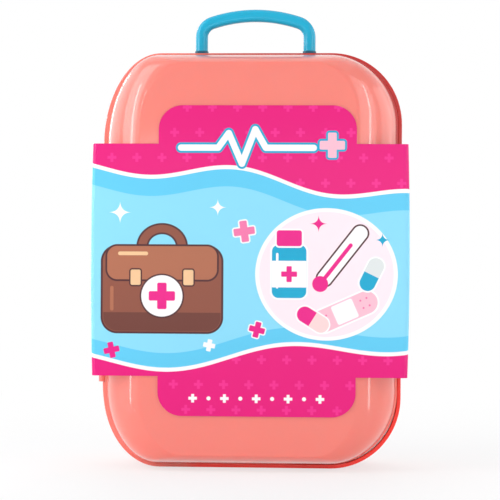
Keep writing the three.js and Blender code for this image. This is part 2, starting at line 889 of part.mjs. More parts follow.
function sleeveFront() {
  const panel = plate(
    roundedShape(
      panelShift - panelWidth / 2, panelShift + panelWidth / 2, panelBottom, panelTop, panelCorner,
    ),
    cardFrontY, card,
  );
  const band = wrap(cardFrontY, -1, partY - sleeveBreak, partY - seatGap);
  return geometryOf(cut(join(band, panel), latchWindow()));
}

function sleeveBack() {
  const band = wrap(cardBackY, 1, partY + seatGap, partY + seatGap);
  return geometryOf(cut(solid(band), latchWindow()));
}

// One scissor half: a tapered blade, a shank and a finger loop; side is the loop's side
function scissorHalf(side, yBack) {
  const blade = new THREE.Shape();
  blade.moveTo(-bladeHalf, -bladeHalf);
  blade.lineTo(-bladeHalf, bladeHalf);
  blade.lineTo(-bladeHalf * 0.8, bladeLength * 0.75);
  blade.quadraticCurveTo(-bladeHalf * 0.5, bladeLength, bladeHalf * 0.3, bladeLength);
  blade.quadraticCurveTo(bladeHalf, bladeLength * 0.9, bladeHalf, bladeLength * 0.7);
  blade.lineTo(bladeHalf, -bladeHalf);
  const shank = new THREE.Shape();
  const loopX = side * loopOut;
  const neck = loopRadius * 0.35;
  shank.moveTo(-side * bladeHalf * 0.8, 0);
  shank.lineTo(side * bladeHalf * 0.9, 0);
  shank.lineTo(loopX + side * neck, -loopDrop + loopRadius * 0.8);
  shank.lineTo(loopX - side * neck, -loopDrop + loopRadius * 0.8);
  const loop = new THREE.Shape();
  loop.absarc(loopX, -loopDrop, loopRadius, 0, 2 * Math.PI);
  const hole = new THREE.Path();
  hole.absarc(loopX, -loopDrop, loopHole, 0, 2 * Math.PI, true);
  loop.holes.push(hole);
  const body = join(...[blade, shank, loop].map((shape) => plate(shape, yBack, bladeThick)));
  return geometryOf(cut(body, rod('y', rivetRadius + seatGap, [0, yBack - overrun, 0], yBack + overrun)));
}

// Turned pieces: a profile of [radius, height] points, closed on the axis, or a pipe
function turned(profile, steps = roundSteps) {
  return new THREE.LatheGeometry(profile.map(([r, h]) => new THREE.Vector2(r, h)), steps)
    .rotateX(Math.PI / 2);
}

function syringeBarrel() {
  const inner = barrelRadius - barrelWall;
  return geometryOf(join(
    turned([
      [inner, barrelFlangeThick / 2],
      [inner, -barrelLength + barrelWall],
      [nozzleRadius * 0.35, -barrelLength],
      [nozzleRadius * 0.35, -barrelLength - nozzleLength],
      [nozzleRadius * 0.7, -barrelLength - nozzleLength],
      [nozzleRadius, -barrelLength - barrelWall],
      [barrelRadius, -barrelLength],
      [barrelRadius, barrelFlangeThick / 2],
      [inner, barrelFlangeThick / 2],
    ]),
    new THREE.ExtrudeGeometry(barrelFlangeShape(inner), {
      depth: barrelFlangeThick, bevelEnabled: false, curveSegments: smallRound,
    }),
  ));
}

function barrelFlangeShape(inner) {
  const shape = roundedShape(
    -barrelFlange, barrelFlange, -barrelRadius - barrelWall, barrelRadius + barrelWall, barrelRadius,
  );
  const hole = new THREE.Path();
  hole.absarc(0, 0, inner, 0, 2 * Math.PI, true);
  shape.holes.push(hole);
  return shape;
}

const sealRadius = barrelRadius - barrelWall - seatGap;
const sealBottom = -barrelLength + plungerOut + barrelWall + seatGap;
const thumbBottom = barrelFlangeThick + plungerOut + seatGap;

function syringePlunger() {
  const rodBottom = sealBottom + sealHeight + seatGap;
  const rodTop = thumbBottom;
  return turned([
    [0, rodBottom - sealHeight / 2],
    [plungerRod * 0.6, rodBottom - sealHeight / 2],
    [plungerRod * 0.6, rodBottom],
    [sealRadius - seatGap, rodBottom],
    [sealRadius - seatGap, rodBottom + barrelWall],
    [plungerRod, rodBottom + barrelWall * 2],
    [plungerRod, rodTop - barrelWall],
    [thumbRadius, rodTop],
    [thumbRadius, rodTop + thumbThick],
    [0, rodTop + thumbThick],
  ]);
}

function syringeSeal() {
  const bore = plungerRod * 0.6 + seatGap;
  const groove = sealHeight / 5;
  return geometryOf(cut(
    solid(turned([
      [0, sealBottom],
      [sealRadius - groove, sealBottom],
      [sealRadius, sealBottom + groove],
      [sealRadius, sealBottom + 2 * groove],
      [sealRadius - groove, sealBottom + 2.5 * groove],
      [sealRadius, sealBottom + 3 * groove],
      [sealRadius, sealBottom + 4 * groove],
      [sealRadius - groove, sealBottom + sealHeight],
      [0, sealBottom + sealHeight],
    ])),
    rod('z', bore, [0, 0, sealBottom + sealHeight / 2 - seatGap], sealBottom + sealHeight + overrun),
  ));
}

// The scalpel and the tweezers lie on the basin's floor
function scalpel(yBack) {
  const grip = roundedShape(-scalpelWidth / 2, scalpelWidth / 2, 0, scalpelLength - scalpelBladeLength, scalpelWidth / 2.2);
  const blade = new THREE.Shape();
  const root = scalpelLength - scalpelBladeLength - scalpelWidth / 2;
  blade.moveTo(-scalpelWidth * 0.35, root);
  blade.lineTo(scalpelWidth * 0.35, root);
  blade.quadraticCurveTo(scalpelWidth * 0.6, scalpelLength * 0.9, -scalpelWidth * 0.35, scalpelLength);
  return geometryOf(join(
    plate(grip, yBack, scalpelThick),
    plate(blade, yBack - scalpelThick / 4, scalpelThick / 2),
  ));
}

function tweezers(yBack) {
  const half = tweezersWidth / 2;
  const shape = new THREE.Shape();
  shape.moveTo(-half * 0.5, 0);
  shape.quadraticCurveTo(-half * 1.1, tweezersLength * 0.45, -tweezersArm * 0.5, tweezersLength);
  shape.lineTo(-tweezersArm * 0.15, tweezersLength);
  shape.quadraticCurveTo(-half * 1.1 + tweezersArm, tweezersLength * 0.45, -half * 0.3, tweezersArm * 2);
  shape.quadraticCurveTo(0, tweezersArm, half * 0.3, tweezersArm * 2);
  shape.quadraticCurveTo(half * 1.1 - tweezersArm, tweezersLength * 0.45, tweezersArm * 0.15, tweezersLength);
  shape.lineTo(tweezersArm * 0.5, tweezersLength);
  shape.quadraticCurveTo(half * 1.1, tweezersLength * 0.45, half * 0.5, 0);
  shape.quadraticCurveTo(0, -tweezersArm, -half * 0.5, 0);
  return plate(shape, yBack, tweezersThick);
}

// The play monitor lies on its back: housing, sloped foot, screen pocket and knob socket
const screenZ = monitorFootTall + (monitorTall - monitorFootTall) * 0.62;
const knobX = monitorWidth / 2 - knobRadius * 1.8;
const knobZ = monitorFootTall + knobRadius * 0.2;

function monitorBody() {
  const half = monitorWidth / 2;
  const housing = plate(roundedShape(-half, half, 0, monitorTall, monitorCorner), 0, monitorThick);
  const foot = plate(
    roundedShape(-monitorFoot / 2, monitorFoot / 2, -monitorCorner, monitorFootTall / 2, monitorCorner / 2),
    0, monitorFootThick,
  );
  const faceY = -monitorThick;
  const screenPocket = block(
    [-screenWidth / 2 - seatGap, faceY - overrun, screenZ - screenTall / 2 - seatGap],
    [screenWidth / 2 + seatGap, faceY + screenThick + seatGap, screenZ + screenTall / 2 + seatGap],
  );
  const shaftHole = rod('y', knobShaft + seatGap, [knobX, faceY - overrun, knobZ], faceY + knobTall);
  return geometryOf(cut(join(housing, foot), screenPocket, shaftHole));
}

function monitorScreen() {
  const back = -monitorThick + screenThick;
  return block(
    [-screenWidth / 2, back - screenThick, screenZ - screenTall / 2],
    [screenWidth / 2, back, screenZ + screenTall / 2],
  );
}

function monitorKnob() {
  const faceY = -monitorThick - seatGap;
  const body = join(
    rod('y', knobRadius, [knobX, faceY - knobTall * 0.7, knobZ], faceY, roundSteps),
    rod('y', knobShaft, [knobX, faceY - knobTall / 2, knobZ], faceY + knobTall * 0.8),
    block(
      [knobX - knobRadius * 0.25, faceY - knobTall, knobZ - knobRadius * 0.9],
      [knobX + knobRadius * 0.25, faceY - knobTall / 2, knobZ + knobRadius * 0.9],
    ),
  );
  return geometryOf(body);
}

function bottleBody() {
  const round = bottleRadius * 0.15;
  return turned([
    [0, 0],
    [bottleRadius - round, 0],
    [bottleRadius, round],
    [bottleRadius, bottleTall * 0.6],
    [bottleRadius - round, bottleTall * 0.78],
    [bottleNeck, bottleTall],
    [bottleNeck, bottleTall + bottleNeck],
    [0, bottleTall + bottleNeck],
  ]);
}

function bottleCap() {
  const seat = bottleTall + seatGap;
  const bore = bottleNeck + seatGap;
  const under = bottleNeck + seatGap * 2;
  return turned([
    [bore, seat],
    [capRadius, seat],
    [capRadius, seat + capTall * 0.4],
    [capRadius * 0.75, seat + capTall * 0.6],
    [capTip, seat + capTall * 0.75],
    [capTip * 0.8, seat + capTall],
    [0, seat + capTall],
    [0, seat + under],
    [bore, seat + under],
    [bore, seat],
  ]);
}

// Assembly
const object = new THREE.Group();

function add(name, geometry, material, parent = object) {
  const mesh = new THREE.Mesh(geometry, material);
  mesh.name = name;
  parent.add(mesh);
  return mesh;
}

function place(x, y, z, turnX = 0) {
  const group = new THREE.Group();
  group.position.set(x, y, z);
  group.rotation.x = turnX;
  object.add(group);
  return group;
}

add('base_shell', baseShell(), paint(salmon, 0.3));
add('lid_shell', lidShell(), paint(salmon, 0.3));
add('carry_handle', carryHandle(), paint(turquoise, 0.3));
add('hinge_pin_lower', hingePin(hingeHeights[0]), paint('#c8c8c8', 0.35, { metalness: 1 }));
add('hinge_pin_upper', hingePin(hingeHeights[1]), paint('#c8c8c8', 0.35, { metalness: 1 }));
add('latch_lever', latchLever(), paint(turquoise, 0.3));
add('latch_pin', latchPinRod(), paint('#c8c8c8', 0.35, { metalness: 1 }));
add('tray', tray(), paint(white, 0.35));
add('basket', basket(), paint(turquoise, 0.3));
add('hook_rail', hookRail(), paint(turquoise, 0.3));
add('sleeve_front', sleeveFront(), paint(magenta, 0.45));
add('sleeve_back', sleeveBack(), paint(magenta, 0.45));

const toolY = trayTopY - seatGap;
const scissors = place(scissorsX, toolY, scissorsZ);
add('scissors_fixed_half', scissorHalf(1, 0), paint(darkMagenta, 0.3), scissors);
add('scissors_moving_half', scissorHalf(-1, -bladeThick - seatGap), paint(darkMagenta, 0.3), scissors);
const stackY = -2 * bladeThick - 2 * seatGap;
add('scissors_rivet', geometryOf(join(
  rod('y', rivetRadius, [0, stackY, 0], 0),
  rod('y', rivetHead, [0, stackY - rivetCap, 0], stackY, roundSteps),
)), paint(magenta, 0.3), scissors);

const syringe = place(syringeX, toolY, syringeZ, Math.PI / 2);
add('syringe_barrel', syringeBarrel(), paint('#eef4f6', 0.2, { transparent: true, opacity: 0.6 }), syringe);
add('syringe_plunger', syringePlunger(), paint(white, 0.35), syringe);
add('syringe_seal', syringeSeal(), paint('#202022', 0.6), syringe);

const basinToolY = basinFloorY - seatGap;
const basinMiddleX = (basinLeft + basinRight) / 2;
const scalpelPlace = place(basinMiddleX + scalpelWidth, basinToolY, basinBottom + scalpelWidth * 2);
add('scalpel', scalpel(0), paint(pink, 0.3), scalpelPlace);
const tweezersPlace = place(basinMiddleX - tweezersWidth / 2, basinToolY, basinBottom + tweezersWidth);
add('tweezers', tweezers(0), paint(pink, 0.3), tweezersPlace);

const monitor = place(monitorX, toolY, monitorZ);
add('monitor_body', monitorBody(), paint(magenta, 0.3), monitor);
add('monitor_screen', monitorScreen(), paint('#ffe9c8', 0.15), monitor);
add('monitor_knob', monitorKnob(), paint(pink, 0.3), monitor);

const bottle = place(bottleX, toolY - bottleRadius, bottleBottom);
add('dropper_bottle', bottleBody(), paint(pink, 0.3), bottle);
add('dropper_cap', bottleCap(), paint(magenta, 0.3), bottle);

export default object;
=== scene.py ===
"""Looks of the toy doctor case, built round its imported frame.

Shapes are worked out in millimetres and become metres when a mesh is made. The lid faces -Y, the
hinges are on the -X side, the latch on the +X side, and the case stands on its short end at z = 0.
"""

import json
import math
from collections import namedtuple

import bmesh
import bpy
from mathutils import Matrix, Vector


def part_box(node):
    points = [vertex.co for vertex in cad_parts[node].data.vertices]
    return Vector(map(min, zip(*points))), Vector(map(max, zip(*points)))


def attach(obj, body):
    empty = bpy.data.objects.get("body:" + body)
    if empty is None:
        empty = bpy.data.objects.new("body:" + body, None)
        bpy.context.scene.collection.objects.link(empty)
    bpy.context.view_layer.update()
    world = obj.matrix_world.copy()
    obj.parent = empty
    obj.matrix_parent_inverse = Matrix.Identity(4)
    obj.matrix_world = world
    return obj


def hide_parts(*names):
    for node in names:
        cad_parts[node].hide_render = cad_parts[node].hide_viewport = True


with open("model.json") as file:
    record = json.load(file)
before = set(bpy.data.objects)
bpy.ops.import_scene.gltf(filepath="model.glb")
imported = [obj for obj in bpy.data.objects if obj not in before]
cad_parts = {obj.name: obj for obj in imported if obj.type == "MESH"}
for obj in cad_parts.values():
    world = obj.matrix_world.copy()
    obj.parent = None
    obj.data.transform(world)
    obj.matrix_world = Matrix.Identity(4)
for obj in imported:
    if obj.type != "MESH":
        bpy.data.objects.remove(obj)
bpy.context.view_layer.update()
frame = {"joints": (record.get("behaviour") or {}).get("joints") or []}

MM = 0.001
Corners = namedtuple("Corners", "left_u left_v left_top_v right_u right_v")


# Places taken from the frame
def node_box(name):
    low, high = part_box(name)
    return low / MM, high / MM


def joint_place(name):
    joint = next(j for j in frame["joints"] if j["name"] == name)
    return Vector(joint["pos_m"]) / MM


base_high = node_box("base_shell")[1]
lid_low, lid_high = node_box("lid_shell")
handle_low, handle_high = node_box("carry_handle")
hinge = joint_place("lid_hinge")
latch = joint_place("latch_turn")

part_y = hinge.y
front_y = lid_low.y
back_y = base_high.y
half_width = latch.x
case_height = base_high.z
middle_z = case_height / 2

# Case shells
wall = 2
rim_gap = 0.4
lid_edge = part_y - rim_gap
seat_gap = 0.3
rim_corners = Corners(44, 60, 70, 54, 55)
face_corners = Corners(36, 46, 54, 33, 42)
lid_latch_ledge = 3
lid_foot_ledge = lid_low.z
lid_top_ledge = case_height - lid_high.z
lid_flange = 4
lid_latch_flange = 1.5
lid_flange_thick = 2.5
lid_flange_fillet = 0.8
lid_depth = part_y - front_y
crown_inset = 31
crown_end_share = 0.3
crown_turn = math.radians(72)
crease_radius = 7
crease_run = 4
edge_radius = 0.6
band_depth = 15
band_step = 1.5
draft_side = 6
draft_end = 3
draft_start = (0.3, 3)
back_fillet = 10
base_depth = back_y - part_y
rim_wall = 3
ledge_width = 3.5
ledge_thick = 2.2
tray_drop = 1.2
tray_thick = 2.2
ledge_drop = tray_drop + tray_thick + seat_gap
ledge_under = ledge_drop + ledge_thick
knuckle_radius = 3
pin_radius = 1.2
bore_radius = pin_radius + seat_gap
lid_knuckle = 14
base_knuckle = 10
knuckle_end = lid_knuckle / 2 + seat_gap
hinge_heights = [83, case_height - 95]
notch_width = 33
notch_from_centre = 48
notch_depth = 3
notch_reach = 6.5
notch_lip = 2.7
catch_length = 26
catch_reach = 1
catch_root = 3.2
catch_thick = 2.5
foot_width = 26
foot_depth = 8
foot_from_centre = 56
foot_from_back = 14
foot_rounding = 1.2

# Latch
latch_width = 50
latch_ear = 5
latch_recess = 3.5
latch_plate = 2.2
latch_reach = 9
latch_lip = 2.2
latch_rib = 0.5
rib_count = 3

# Carry handle
handle_bar = 9.4
handle_thick = 9
handle_crown_radius = 107
handle_shoulder = 12
tenon_width = 5.6
tenon_thick = 5
tenon_top = 3
handle_leg = (handle_high.x - handle_low.x - handle_bar) / 2
handle_x = (handle_low.x + handle_high.x) / 2
handle_y = (handle_low.y + handle_high.y) / 2
handle_foot = case_height + seat_gap

# Card sleeve
front_low, front_high = node_box("sleeve_front")
rear_low, rear_high = node_box("sleeve_back")
card = 0.6
card_half = front_high.x
fold_radius = 3
panel_left, panel_right = -69, 80.4
panel_corner = 18.2
window_spare = 5
latch_sweep = 22
hinge_side_end = part_y - 8
side_bow = 1.3
bow_start, bow_run = 60, 55

# Facets of the curves, tolerances in metres and how far a cutter passes what it cuts
corner_steps = 24
crown_steps = 28
fillet_steps = 5
back_steps = 12
round_steps = 64
merge_moulded = 1e-7
merge_cut = 1e-6
merge_plate = 2e-6
overrun = 5
bore_overrun = 40


# Meshes
def linked(name, data):
    made = bpy.data.objects.new(name, data)
    bpy.context.scene.collection.objects.link(made)
    return made


def cleaned(mesh, least, turn_out=True):
    """The mesh with close points merged, and its faces turned outwards or its slivers removed."""
    shape = bmesh.new()
    shape.from_mesh(mesh)
    bmesh.ops.remove_doubles(shape, verts=shape.verts, dist=least)
    if turn_out:
        bmesh.ops.recalc_face_normals(shape, faces=shape.faces)
    else:
        bmesh.ops.dissolve_degenerate(shape, edges=shape.edges, dist=least)
    shape.to_mesh(mesh)
    shape.free()
    return mesh


def evaluated(obj):
    depsgraph = bpy.context.evaluated_depsgraph_get()
    return bpy.data.meshes.new_from_object(obj.evaluated_get(depsgraph))


def new_object(name, vertices, faces):
    mesh = bpy.data.meshes.new(name)
    mesh.from_pydata([tuple(c * MM for c in v) for v in vertices], [], faces)
    return linked(name, cleaned(mesh, merge_moulded))


def settle(obj):
    """The object's modifiers become its mesh."""
    mesh = evaluated(obj)
    obj.modifiers.clear()
    obj.data = cleaned(mesh, merge_cut, turn_out=False)
    return obj


def combine(obj, operation, tools):
    for tool in tools:
        step = obj.modifiers.new("step", "BOOLEAN")
        step.operation = operation
        step.solver = "EXACT"
        step.object = tool
    settle(obj)
    for tool in tools:
        bpy.data.objects.remove(tool)
    return obj


def cut(obj, *tools):
    return combine(obj, "DIFFERENCE", tools)


def join(obj, *tools):
    return combine(obj, "UNION", tools)


def round_edges(obj, width, segments=2, angle=40):
    bevel = obj.modifiers.new("edges", "BEVEL")
    bevel.width = width * MM
    bevel.segments = segments
    bevel.limit_method = "ANGLE"
    bevel.angle_limit = math.radians(angle)
    bevel.use_clamp_overlap = True
    return settle(obj)


def smooth(obj, angle=35):
    mesh = obj.data
    mesh.polygons.foreach_set("use_smooth", [True] * len(mesh.polygons))
    mesh.set_sharp_from_angle(angle=math.radians(angle))


def one_finish(obj, material):
    smooth(obj)
    obj.data.materials.clear()
    obj.data.materials.append(material)


# Outlines and profiles
def filleted(points, closed=False, steps=fillet_steps):
    """A line of (u, v, radius) corners, each rounded by its radius."""
    count = len(points)
    line = []
    for i, (u, v, radius) in enumerate(points):
        at_end = not closed and i in (0, count - 1)
        if radius == 0 or at_end:
            line.append((u, v))
            continue
        here = Vector((u, v))
        before = Vector(points[i - 1][:2]) - here
        after = Vector(points[(i + 1) % count][:2]) - here
        turn = math.pi - before.angle(after)
        reach = radius * math.tan(turn / 2)
        start = here + before.normalized() * reach
        end = here + after.normalized() * reach
        centre_way = (before.normalized() + after.normalized()).normalized()
        centre = here + centre_way * radius / math.cos(turn / 2)
        first, last = start - centre, end - centre
        angle = first.angle_signed(last)
        for step in range(steps + 1):
            spoke = first.copy()
            spoke.rotate(Matrix.Rotation(-angle * step / steps, 2))
            line.append(tuple(centre + spoke))
    return line


def arc(centre, radius, first, last, steps):
    """Points on a circle, from one angle to another."""
    angles = [first + (last - first) * step / steps for step in range(steps + 1)]
    return [(centre[0] + radius * math.cos(a), centre[1] + radius * math.sin(a)) for a in angles]


def circle(centre, radius, steps=48):
    return arc(centre, radius, 0, 2 * math.pi, steps)[:-1]


def corner_ring(left, right, low, high, corners, steps=corner_steps):
    """A rectangle with round corners, of one radius or of uneven radii along u and v."""
    if not isinstance(corners, Corners):
        corners = Corners(*[corners] * len(Corners._fields))
    left_u, left_v, left_top_v, right_u, right_v = corners
    quarters = [
        (right - right_u, low + right_v, right_u, right_v),
        (right - right_u, high - right_v, right_u, right_v),
        (left + left_u, high - left_top_v, left_u, left_top_v),
        (left + left_u, low + left_v, left_u, left_v),
    ]
    points = []
    for quarter, (u, v, radius_u, radius_v) in enumerate(quarters):
        for step in range(steps + 1):
            angle = (quarter - 1 + step / steps) * math.pi / 2
            points.append((u + radius_u * math.cos(angle), v + radius_v * math.sin(angle)))
    return points


def quadratic(first, control, last, steps=12):
    """A bend that leaves its first point towards the control point, without that first point."""
    points = []
    for step in range(1, steps + 1):
        t = step / steps
        points.append(tuple(
            (1 - t) ** 2 * a + 2 * t * (1 - t) * b + t ** 2 * c for a, b, c in zip(first, control, last)
        ))
    return points


def ring_in(plane, outline, level):
    """An outline in a plane of two axes, such as xz, at a level of the third."""
    rings = [dict(zip(plane, point)) for point in outline]
    return [tuple(ring.get(axis, level) for axis in "xyz") for ring in rings]


# Bodies
def loft(name, rings):
    """A closed body through rings of equally many points, with a flat face on each end."""
    count = len(rings[0])
    vertices = [point for ring in rings for point in ring]
    faces = []
    for k in range(len(rings) - 1):
        for i in range(count):
            j = (i + 1) % count
            faces.append((k * count + i, k * count + j, (k + 1) * count + j, (k + 1) * count + i))
    faces.append(tuple(range(count)))
    faces.append(tuple((len(rings) - 1) * count + i for i in range(count)))
    return new_object(name, vertices, faces)


def prism(name, plane, outline, levels):
    return loft(name, [ring_in(plane, outline, level) for level in levels])


def block(low, high, name="block"):
    corners = [(x, y, z) for x in (low[0], high[0]) for y in (low[1], high[1]) for z in (low[2], high[2])]
    faces = [(0, 1, 3, 2), (4, 6, 7, 5), (0, 4, 5, 1), (2, 3, 7, 6), (0, 2, 6, 4), (1, 5, 7, 3)]
    return new_object(name, corners, faces)


def rod(axis, radius, start, end, steps=round_steps):
    """A round bar along an axis from the point start to the coordinate end."""
    plane = "xyz".replace(axis, "")
    where = dict(zip("xyz", start))
    outline = circle((where[plane[0]], where[plane[1]]), radius, steps)
    return prism("rod", plane, outline, (where[axis], end))


def turned(name, corners, centre, axis, steps=round_steps):
    """A body turned round an axis from (radius, height, fillet) corners, with flat ends."""
    way = Vector(axis)
    side = way.orthogonal().normalized()
    other = way.cross(side)
    ends = [(0, corners[0][1], 0), *corners, (0, corners[-1][1], 0)]
    rings = []
    for radius, height in filleted(ends)[1:-1]:
        middle = Vector(centre) + way * height
        rings.append([
            tuple(middle + side * radius * math.cos(2 * math.pi * i / steps)
                  + other * radius * math.sin(2 * math.pi * i / steps))
            for i in range(steps)
        ])
    return loft(name, rings)


def plate(name, outline, back, thick, edge=0.4, at=(0, 0), holes=()):
    """An outline in x and z, seen from a place, as a plate with round edges and holes."""
    curve = bpy.data.curves.new(name, "CURVE")
    curve.dimensions = "2D"
    curve.fill_mode = "BOTH"
    curve.extrude = (thick / 2 - edge) * MM
    curve.bevel_depth = edge * MM
    curve.bevel_resolution = 2
    curve.offset = -edge * MM
    for line in (outline, *holes):
        spline = curve.splines.new("POLY")
        spline.points.add(len(line) - 1)
        for point, (u, v) in zip(spline.points, line):
            point.co = ((at[0] + u) * MM, (at[1] + v) * MM, 0, 1)
        spline.use_cyclic_u = True
    drawn = linked(name, curve)
    mesh = evaluated(drawn)
    bpy.data.objects.remove(drawn)
    place = Matrix.Translation((0, (back - thick / 2) * MM, 0))
    mesh.transform(place @ Matrix.Rotation(math.pi / 2, 4, "X"))
    return linked(name, cleaned(mesh, merge_plate))


# Material nodes
def srgb(red, green, blue):
    def linear(value):
        share = value / 255
        return share / 12.92 if share <= 0.04045 else ((share + 0.055) / 1.055) ** 2.4
    return (linear(red), linear(green), linear(blue), 1)


class Field:
    """A number that varies over a surface, worked out by the material's nodes."""

    def __init__(self, socket):
        self.socket = socket
        self.tree = socket.id_data

    def of(self, operation, *others):
        made = node(self.tree, "Math", operation=operation)
        for socket, value in zip(made.inputs, (self, *others)):
            feed(socket, value)
        return Field(made.outputs[0])

    def __add__(self, other):
        return self.of("ADD", other)

    def __sub__(self, other):
        return self.of("SUBTRACT", other)

    def __mul__(self, other):
        return self.of("MULTIPLY", other)

    def __neg__(self):
        return self.of("MULTIPLY", -1)


def feed(socket, value):
    """A number, a colour or another node's output goes into a socket."""
    if isinstance(value, Field):
        value = value.socket
    if isinstance(value, bpy.types.NodeSocket):
        socket.id_data.links.new(value, socket)
    else:
        socket.default_value = value


def fill(made, **values):
    """Values named with a capital go to the node's inputs, and the others are its settings."""
    for name, value in values.items():
        if name.islower():
            setattr(made, name, value)
        else:
            feed(made.inputs[name.replace("_", " ")], value)
    return made


def node(tree, kind, **values):
    return fill(tree.nodes.new("ShaderNode" + kind), **values)


def new_material(name):
    material = bpy.data.materials.new(name)
    material.use_nodes = True
    tree = material.node_tree
    return material, tree.nodes["Principled BSDF"], node(tree, "TexCoord").outputs["Object"]


def along_axes(place):
    """The place's three coordinates, in metres."""
    return [Field(socket) for socket in node(place.id_data, "SeparateXYZ", Vector=place).outputs]


def noise(place, scale, detail=2):
    made = node(place.id_data, "TexNoise", Vector=place, Scale=scale, Detail=detail)
    return Field(made.outputs["Fac"])


def ranged(value, start, end, low=0, high=1, **settings):
    """A number from low to high, as the value goes from start to end."""
    spans = {"From_Min": start, "From_Max": end, "To_Min": low, "To_Max": high}
    return Field(node(value.tree, "MapRange", Value=value, **spans, **settings).outputs[0])


def spread(value, low, high):
    """Noise, which mostly lies between 0.3 and 0.7, spread from low to high."""
    return ranged(value, 0.3, 0.7, low, high)


def blended(share, first, second):
    made = node(share.tree, "Mix", data_type="RGBA")
    for name, value in (("Factor_Float", share), ("A_Color", first), ("B_Color", second)):
        feed(next(s for s in made.inputs if s.identifier == name), value)
    return next(s for s in made.outputs if s.identifier == "Result_Color")


def bumped(shader, height, distance):
    bump = node(shader.id_data, "Bump", Height=height, Strength=1.0, Distance=distance)
    fill(shader, Normal=bump.outputs[0])


def plastic(name, color, gloss, shade=0.95, **settings):
    """Moulded plastic: a faint flow in its colour, uneven gloss and a fine orange peel."""
    material, shader, place = new_material(name)
    darker = (*(c * shade for c in color[:3]), 1)
    fill(shader, Base_Color=blended(noise(place, 28, 3), color, darker))
    fill(shader, Roughness=spread(noise(place, 90), gloss * 0.85, gloss * 1.2))
    fill(shader, **{"Coat_Roughness": gloss * 0.6, **settings})
    bumped(shader, noise(place, 1400, 1), peel_height)
    return material


def paint_light_and_shade(material, color, glow, **spans):
    """Painted light and shade: a deeper colour inside each axis's span, which goes from plain to full, with a
    painted glow of that colour where a glow is given.
    """
    tree = material.node_tree
    shader = tree.nodes["Principled BSDF"]
    places = dict(zip("xyz", along_axes(node(tree, "TexCoord").outputs["Object"])))
    share = None
    for axis, (start, end) in spans.items():
        step = ranged(places[axis], start * MM, end * MM, interpolation_type="SMOOTHSTEP")
        share = share * step if share else step
    plain = shader.inputs["Base Color"].links[0].from_socket
    fill(shader, Base_Color=blended(share, plain, color))
    if glow:
        lit = shader.inputs["Emission Color"]
        dark = lit.links[0].from_socket if lit.is_linked else (0, 0, 0, 1)
        fill(shader, Emission_Color=blended(share, dark, color), Emission_Strength=glow)


# Colours of the mouldings, and painted glow and shade colours for the rim, the seams and the handle feet
salmon = srgb(249, 126, 112)
# Painted glow: a bright red for the base's rim, standing in for light through its edge
painted_rim_glow_red = srgb(240, 40, 22)
# Painted shade: a dark red for the seam between the shells
painted_seam_shade_red = srgb(176, 6, 2)
# Painted shade: a darker salmon for the top seam
painted_seam_shade_salmon = srgb(206, 74, 60)
turquoise = srgb(0, 166, 206)
handle_blue = srgb(0, 182, 222)
painted_foot_shade_blue = srgb(0, 96, 124)
magenta = srgb(232, 20, 136)
dark_magenta = srgb(190, 20, 100)
# Painted shade: a dark blue for the handle's feet
pink = srgb(240, 90, 170)
white = srgb(244, 244, 242)
steel = srgb(206, 206, 208)
dull_steel = srgb(168, 168, 172)

# Inks of the printed card and label
hot_magenta = srgb(230, 12, 124)
soft_magenta = srgb(240, 44, 144)
paper = srgb(252, 250, 252)
sky = srgb(96, 202, 240)
light_sky = srgb(138, 218, 246)
ink = srgb(72, 30, 36)
brown = srgb(140, 78, 60)
deep_brown = srgb(108, 56, 46)
light_brown = srgb(174, 106, 78)
tan = srgb(240, 196, 150)
blush = srgb(252, 190, 208)
blush_light = srgb(255, 232, 240)
rose = srgb(240, 120, 170)
cream = srgb(255, 246, 236)
screen_cream = srgb(255, 236, 206)
screen_rule = srgb(250, 206, 176)
ink_blur = 0.22
screen_blur = 0.1
screen_grid = 3
plus_pitch = 19
card_round = 684
wave_line = 3
peel_height = 0.0000006
card_height = 0.0000008
# Strength of the painted glow (emission) on the rim and the seams
painted_edge_glow = 0.15

milky = {
    "Coat_IOR": 1.5, "Coat_Roughness": 0.06, "Specular_IOR_Level": 0.4,
    "Subsurface_Weight": 0.3, "Subsurface_Radius": (1, 0.16, 0.08), "Subsurface_Scale": 0.004,
}
shell_plastic = plastic("shell_plastic", salmon, 0.34, Coat_Weight=1.0, **milky)
base_plastic = plastic("base_plastic", salmon, 0.34, Coat_Weight=0.4, **milky)
handle_plastic = plastic("handle_plastic", handle_blue, 0.07, Specular_IOR_Level=0.4)
trim_plastic = plastic("trim_plastic", turquoise, 0.25)
tray_plastic = plastic("tray_plastic", white, 0.36, shade=0.985)
tool_plastic = plastic("tool_plastic", magenta, 0.25)
dark_plastic = plastic("dark_plastic", dark_magenta, 0.25)
pink_plastic = plastic("pink_plastic", pink, 0.25)
seal_rubber = plastic("seal_rubber", srgb(30, 30, 34), 0.55)
clear_plastic = plastic("clear_plastic", srgb(238, 246, 250), 0.12, Transmission_Weight=0.9)
board = plastic("board", srgb(236, 232, 226), 0.7)
# Painted shade: a darker magenta for the card's cut edges
shaded_cut_edge = plastic("shaded_cut_edge", srgb(176, 26, 100), 0.6)

# Painted light and shade on the milky plastic: a red rim with a painted glow, a dark red painted shade along
# the seam on the latch half, a painted shade line along the top seam and painted shade on the handle feet
below = (middle_z + 20, middle_z - 20)
above = (middle_z - 20, middle_z + 20)
latch_half = (-half_width / 2, half_width / 4)
rim_side = (part_y + 2.4, part_y + edge_radius)
rim_face = (part_y + edge_radius, part_y + edge_radius / 2)
seam_face = (lid_edge - edge_radius, lid_edge - edge_radius / 3)
seam_side = (lid_edge - lid_flange_thick - 0.3, lid_edge - lid_flange_thick + 0.2)
# Painted glow: the base's rim painted bright red with a little emission, over its lower part and its upper
# latch side
paint_light_and_shade(base_plastic, painted_rim_glow_red, painted_edge_glow, x=(-58, -36), y=rim_side, z=below)
paint_light_and_shade(base_plastic, painted_rim_glow_red, painted_edge_glow, x=(-25, 60), y=rim_side, z=above)
